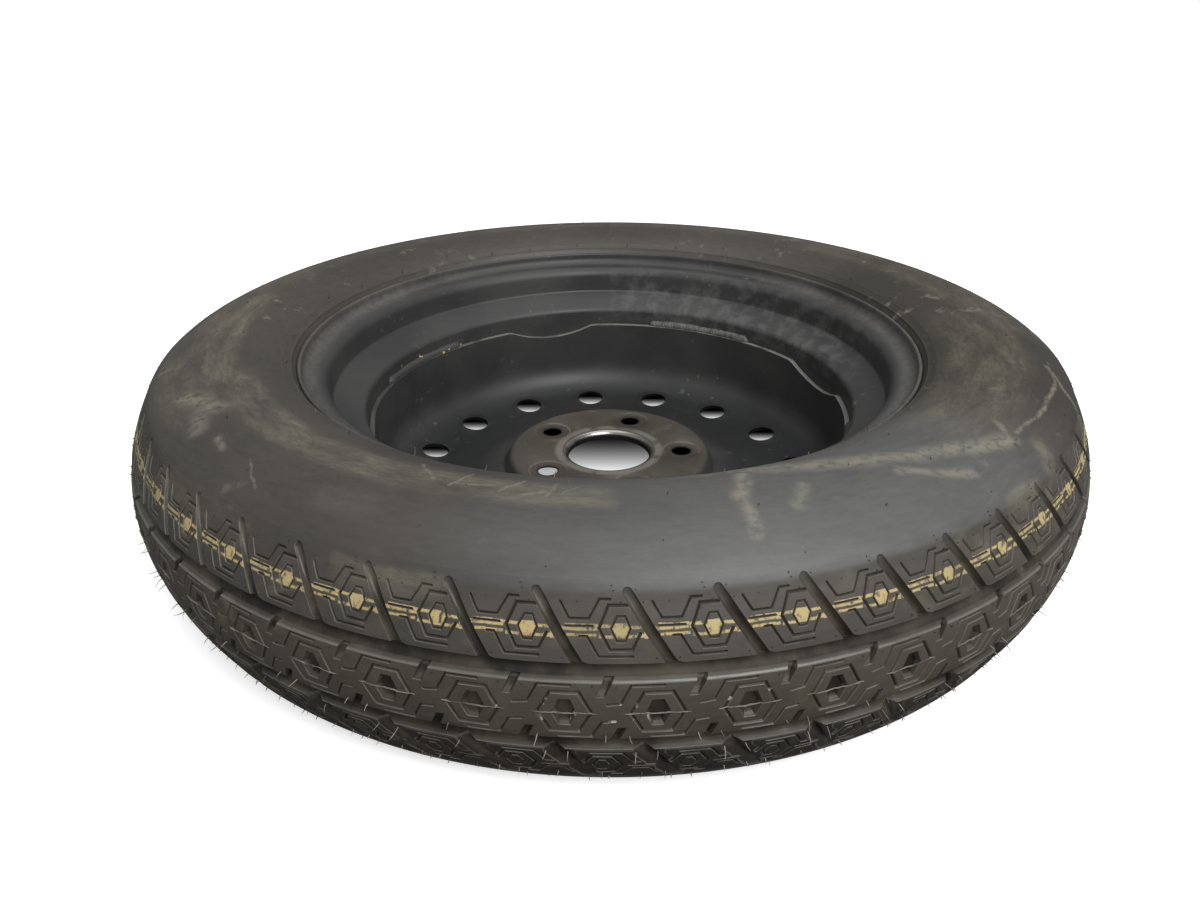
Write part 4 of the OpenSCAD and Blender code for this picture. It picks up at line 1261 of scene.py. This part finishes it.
# The ribs' rounded edges beside the wide grooves are smoother, and painted lighter as a painted highlight
shoulder = g.most([g.window(across, 17.3, 18.4, 0.4), g.window(across, -28.9, -27.6, 0.4)])
shoulder_painted_highlight = g.product(shoulder, g.patches(at, 30.0, 0.3, 0.6, 0.15, 0.5))
skin_colour = g.blend(shoulder_painted_highlight, skin_colour, (0.15, 0.145, 0.13))

rough = g.minus(0.62, g.product(on_wall, 0.12))
rough = g.minus(rough, g.product(in_groove, g.fade(cut, 4.2, 2.5), 0.28))
rough = g.minus(rough, g.product(shoulder, 0.26))
rough = g.plus(rough, g.product(g.most([dust, smeared, loose]), 0.3))
rough = g.plus(rough, g.about(broad, 0.12), clamp=True)
relief = g.plus(g.product(grain, 0.4), g.product(g.noise(at, 900.0, 2.0), 0.35))
relief = g.plus(relief, g.product(g.noise(at, 60.0, 4.0), 0.6))
finish_material(g, (relief, 0.25, 0.55), Base_Color=skin_colour, Roughness=rough,
                Specular_IOR_Level=g.fade(cut, 1.8, 3.4, 0.5, 0.16))
tyre.data.materials.append(material)
print("rubber:", len(g.tree.nodes), "nodes")

# %% Hair and flash rubber
material, g, at = new_material("hair_rubber")
thin = g.noise(at, 90.0, 2.0)
colour = g.blend(g.fade(thin, 0.4, 0.6), (0.030, 0.028, 0.025), (0.10, 0.09, 0.075))
rough = g.fade(thin, 0.2, 0.8, 0.4, 0.65)
finish_material(g, (g.noise(at, 700.0), 0.1, 0.4), Base_Color=colour, Roughness=rough)
wall_hairs.data.materials.append(material)
material, g, at = new_material("pale_hair_rubber")
low_side = g.fade(g.minus(0.0, g.axes(at)[2]), 0.008, 0.014)
pale = g.patches(at, 60.0, 0.3, 0.6, detail=2.0)
colour = g.blend(g.product(low_side, pale), (0.034, 0.031, 0.027), (0.30, 0.275, 0.23))
finish_material(g, (g.noise(at, 700.0), 0.1, 0.4), Base_Color=colour, Roughness=g.fade(pale, 0, 1, 0.45, 0.6))
tread_hairs.data.materials.append(material)
material, g, at = new_material("flash_rubber")
pale = g.patches(at, 75.0, 0.35, 0.6)
colour = g.blend(pale, (0.05, 0.045, 0.038), (0.16, 0.147, 0.12))
finish_material(g, (g.noise(at, 500.0), 0.2, 0.5), Base_Color=colour, Roughness=g.fade(pale, 0, 1, 0.4, 0.6))
flash.data.materials.append(material)
print("hair, pale hair and flash materials made")

# %% [markdown]
# ## Painted steel
#
# The wheel is dipped in black primer that is baked on. It is satin, slightly uneven, and dusty
# on the flange, where it is also painted lighter as painted light. Low in the dish it is painted
# darker as painted shade. The hub pad has worn on another face, so it is browner, with rust on it,
# and the bore's entry is rubbed to bare metal. Painted shade darkens the recesses round the nut
# holes and the walls of the holes, and painted highlights lie on the recesses' edges, the bore's
# lip and the disc's outer edge. One recipe serves rim, disc and welds.

# %% The paint
BARE = (0.085, 0.078, 0.066)


def painted_steel(name, hub=False, pale=0.0):
    """Satin black paint with dust and rust, painted shade low in the dish and painted light on the flange;
    with hub, also the worn pad, the bare bore lip, and painted shade and highlights round holes and edges.
    """
    material, g, at = new_material(name)
    turn, radius, height = g.call(wheel_place, Vector=at)[:3]
    broad, fine = g.noise(at, 13.0, 4.0), g.noise(at, 190.0, 3.0)
    colour = g.blend(g.fade(broad, 0.3, 0.7), (0.028, 0.0282, 0.0284), (0.0425, 0.0425, 0.0416))
    specks = g.clouds(at, 140.0, 4.0, 0.62, 0.72)
    where = g.clouds(at, 16.0, 3.0, 0.46, 0.62)
    far_right = g.product(g.window(turn, 108.0, 168.0, 22.0),
                          g.window(height, 12.0, 48.0, 6.0))
    stain = g.product(g.clouds(at, 75.0, 6.0, 0.42, 0.66), far_right, 0.26)
    dust = g.math("MAXIMUM", g.product(specks, where, 0.45), stain)
    # Painted shade: low in the dish, towards the vents, the paint is painted darker
    colour = g.blend(g.fade(height, -46.0, -58.0, 0.0, 0.75), colour, (0.018, 0.0185, 0.019))
    colour = g.blend(dust, colour, (0.17, 0.17, 0.165))
    spots = g.node("ShaderNodeTexVoronoi", {"Vector": at, "Scale": 170.0}, feature="F1").outputs["Distance"]
    spatter = g.product(g.fade(spots, 0.26, 0.2), g.window(turn, -136.0, -106.0, 3.0),
                        g.window(height, 4.0, 13.0, 2.0), g.fade(radius, 190.7, 190.3),
                        g.clouds(at, 60.0, 1.0, 0.56, 0.6))
    colour = g.blend(spatter, colour, (0.50, 0.38, 0.12))
    # Grey dust and painted light: the flange is painted lighter at the sides of the wheel
    flange_dust_and_light = g.product(g.fade(radius, 219.0, 226.0), g.window(g.math("ABSOLUTE", turn), 50.0, 125.0, 30.0),
                       g.fade(broad, 0.25, 0.55), g.fade(fine, 0.3, 0.6, 0.5, 1.0))
    colour = g.blend(g.product(flange_dust_and_light, 0.7), colour, (0.105, 0.099, 0.088))
    rough = g.plus(g.fade(broad, 0.25, 0.75, 0.40, 0.54), g.product(dust, 0.3))
    metal = 0.0
    if pale:
        fresh = g.product(g.fade(fine, 0.3, 0.6), g.fade(turn, 90.0, 125.0, 0.12, 1.0), pale)
        colour = g.blend(fresh, colour, (0.24, 0.235, 0.22))
    if hub:
        on_pad = g.product(g.fade(radius, 84.0, 79.0), g.fade(height, -51.0, -43.0))
        brown = g.blend(g.noise(at, 42.0, 5.0), (0.032, 0.028, 0.022), (0.078, 0.066, 0.050))
        colour = g.blend(g.product(on_pad, 0.85), colour, brown)
        rust = g.product(on_pad, g.clouds(at, 48.0, 6.0, 0.56, 0.68))
        colour = g.blend(g.product(rust, 0.4), colour, (0.125, 0.092, 0.055))
        coin = g.value("coin")
        # Painted shade: the recesses round the nut holes are painted darker
        colour = g.blend(g.product(coin, 0.35), colour, (0.026, 0.022, 0.016))
        # Painted highlight: a pale arc on the edge of each recess
        coin_edge_highlight = g.product(g.window(coin, 0.25, 0.75, 0.2), g.patches(at, 38.0, 0.38, 0.6))
        colour = g.blend(g.product(coin_edge_highlight, 0.55), colour, (0.15, 0.14, 0.115))
        rubbed = g.product(g.window(radius, 36.0, 42.5, 3.5), on_pad,
                           g.patches(at, 50.0, 0.3, 0.5, detail=4.0), g.minus(1.0, coin))
        colour = g.blend(g.product(rubbed, 0.75), colour, (0.155, 0.148, 0.125))
        lip = g.product(g.fade(radius, 39.0, 37.3), g.patches(at, 24.0, 0.2, 0.42))
        colour = g.blend(lip, colour, BARE)
        # Painted highlight: a narrow bright ring on the lip's rounded edge
        lip_painted_highlight = g.product(g.window(radius, 34.1, 36.4, 0.7), g.fade(height, -40.5, -38.5))
        colour = g.blend(lip_painted_highlight, colour, (0.30, 0.29, 0.265))
        # Painted shade: the walls of the bore and of the vent and nut holes are painted near black
        bore_wall_shade = g.product(g.fade(radius, 35.2, 34.6), g.fade(height, -37.5, -39.5))
        shaded_walls = g.math("MAXIMUM", g.value("hole"), bore_wall_shade)
        colour = g.blend(shaded_walls, colour, (0.006, 0.006, 0.006))
        # Painted highlight: the disc's outer edge is painted lighter, most on the right and at the back left
        edge = g.math("POWER", g.value("border"), 16.0)
        edge_highlight_mask = g.product(edge, g.patches(at, 30.0, 0.3, 0.5))
        bright = g.math("MAXIMUM", g.fade(turn, -150.0, -120.0, 0.7, 0.06), g.fade(turn, -5.0, 5.0, 0.0, 0.7))
        colour = g.blend(g.product(edge_highlight_mask, bright), colour, (0.22, 0.215, 0.20))
        rough = g.minus(g.plus(rough, g.product(g.plus(rust, shaded_walls), 0.25)), g.product(lip, 0.22))
        metal = g.math("MAXIMUM", g.product(lip, g.minus(1.0, shaded_walls), 0.5), lip_painted_highlight)
    relief = g.plus(g.product(fine, 0.5), g.product(g.noise(at, 45.0, 3.0), 0.6))
    finish_material(g, (relief, 0.2, 0.35), Base_Color=colour, Roughness=rough, Metallic=metal,
                    Specular_IOR_Level=g.fade(height, -46.0, -58.0, 0.42, 0.2))
    return material


rim.data.materials.append(painted_steel("rim_paint"))
disc.data.materials.append(painted_steel("disc_paint", hub=True))
welds.data.materials.append(painted_steel("weld_paint", pale=0.28))
print("paint made for rim, disc and welds")

# %% [markdown]
# ## The valve
#
# The snap-in valve keeps its CAD shape. It gets moulded rubber, brass, red seals, a plastic cap,
# and steel for the spring, each with a little unevenness.

# %% Valve materials


def small_part(name, first, second, rough, metal=0.0, scale=300.0):
    """A finish for a small part: two tones mixed by noise, and a fine bump."""
    material, g, at = new_material(name)
    tone = g.noise(at, scale, 4.0)
    colour = g.blend(g.fade(tone, 0.35, 0.65), first, second)
    finish_material(g, (g.noise(at, scale * 4), 0.05, 0.4), Base_Color=colour, Metallic=metal,
                    Roughness=g.fade(tone, 0.2, 0.8, rough - 0.08, rough + 0.1))
    return material


finishes = {
    "valve_rubber": small_part("valve_rubber_finish", (0.020, 0.020, 0.020), (0.040, 0.038, 0.035), 0.6),
    "brass": small_part("brass_finish", (0.62, 0.44, 0.20), (0.72, 0.55, 0.29), 0.3, 1.0),
    "gasket": small_part("gasket_finish", (0.14, 0.02, 0.015), (0.22, 0.035, 0.025), 0.6),
    "spring": small_part("spring_finish", (0.45, 0.45, 0.46), (0.56, 0.56, 0.57), 0.3, 1.0),
    "cap": small_part("cap_finish", (0.016, 0.016, 0.017), (0.028, 0.028, 0.029), 0.42),
}
finish_of = {"valve_rubber": "valve_rubber", "valve_stem": "brass", "core_swivel": "brass",
             "core_barrel": "brass", "core_gasket": "gasket", "core_pin": "brass", "core_cup": "brass",
             "core_cup_seal": "gasket", "core_spring": "spring", "valve_cap": "cap", "cap_seal": "gasket"}
for node, finish in finish_of.items():
    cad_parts[node].data.materials.clear()
    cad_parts[node].data.materials.append(finishes[finish])
print("finishes on", len(finish_of), "valve parts")

# %% [markdown]
# The pin presses the core's spring shorter. A copy of the spring's CAD mesh gets its loose
# triangles joined and stands for it.

# %% The core's spring
coil = bpy.data.objects.new("core_coil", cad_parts["core_spring"].data.copy())
bpy.context.collection.objects.link(coil)
rework(coil.data, joined(1e-6), turn_outwards)
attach(coil, "wheel")
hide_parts("core_spring")
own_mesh(coil)
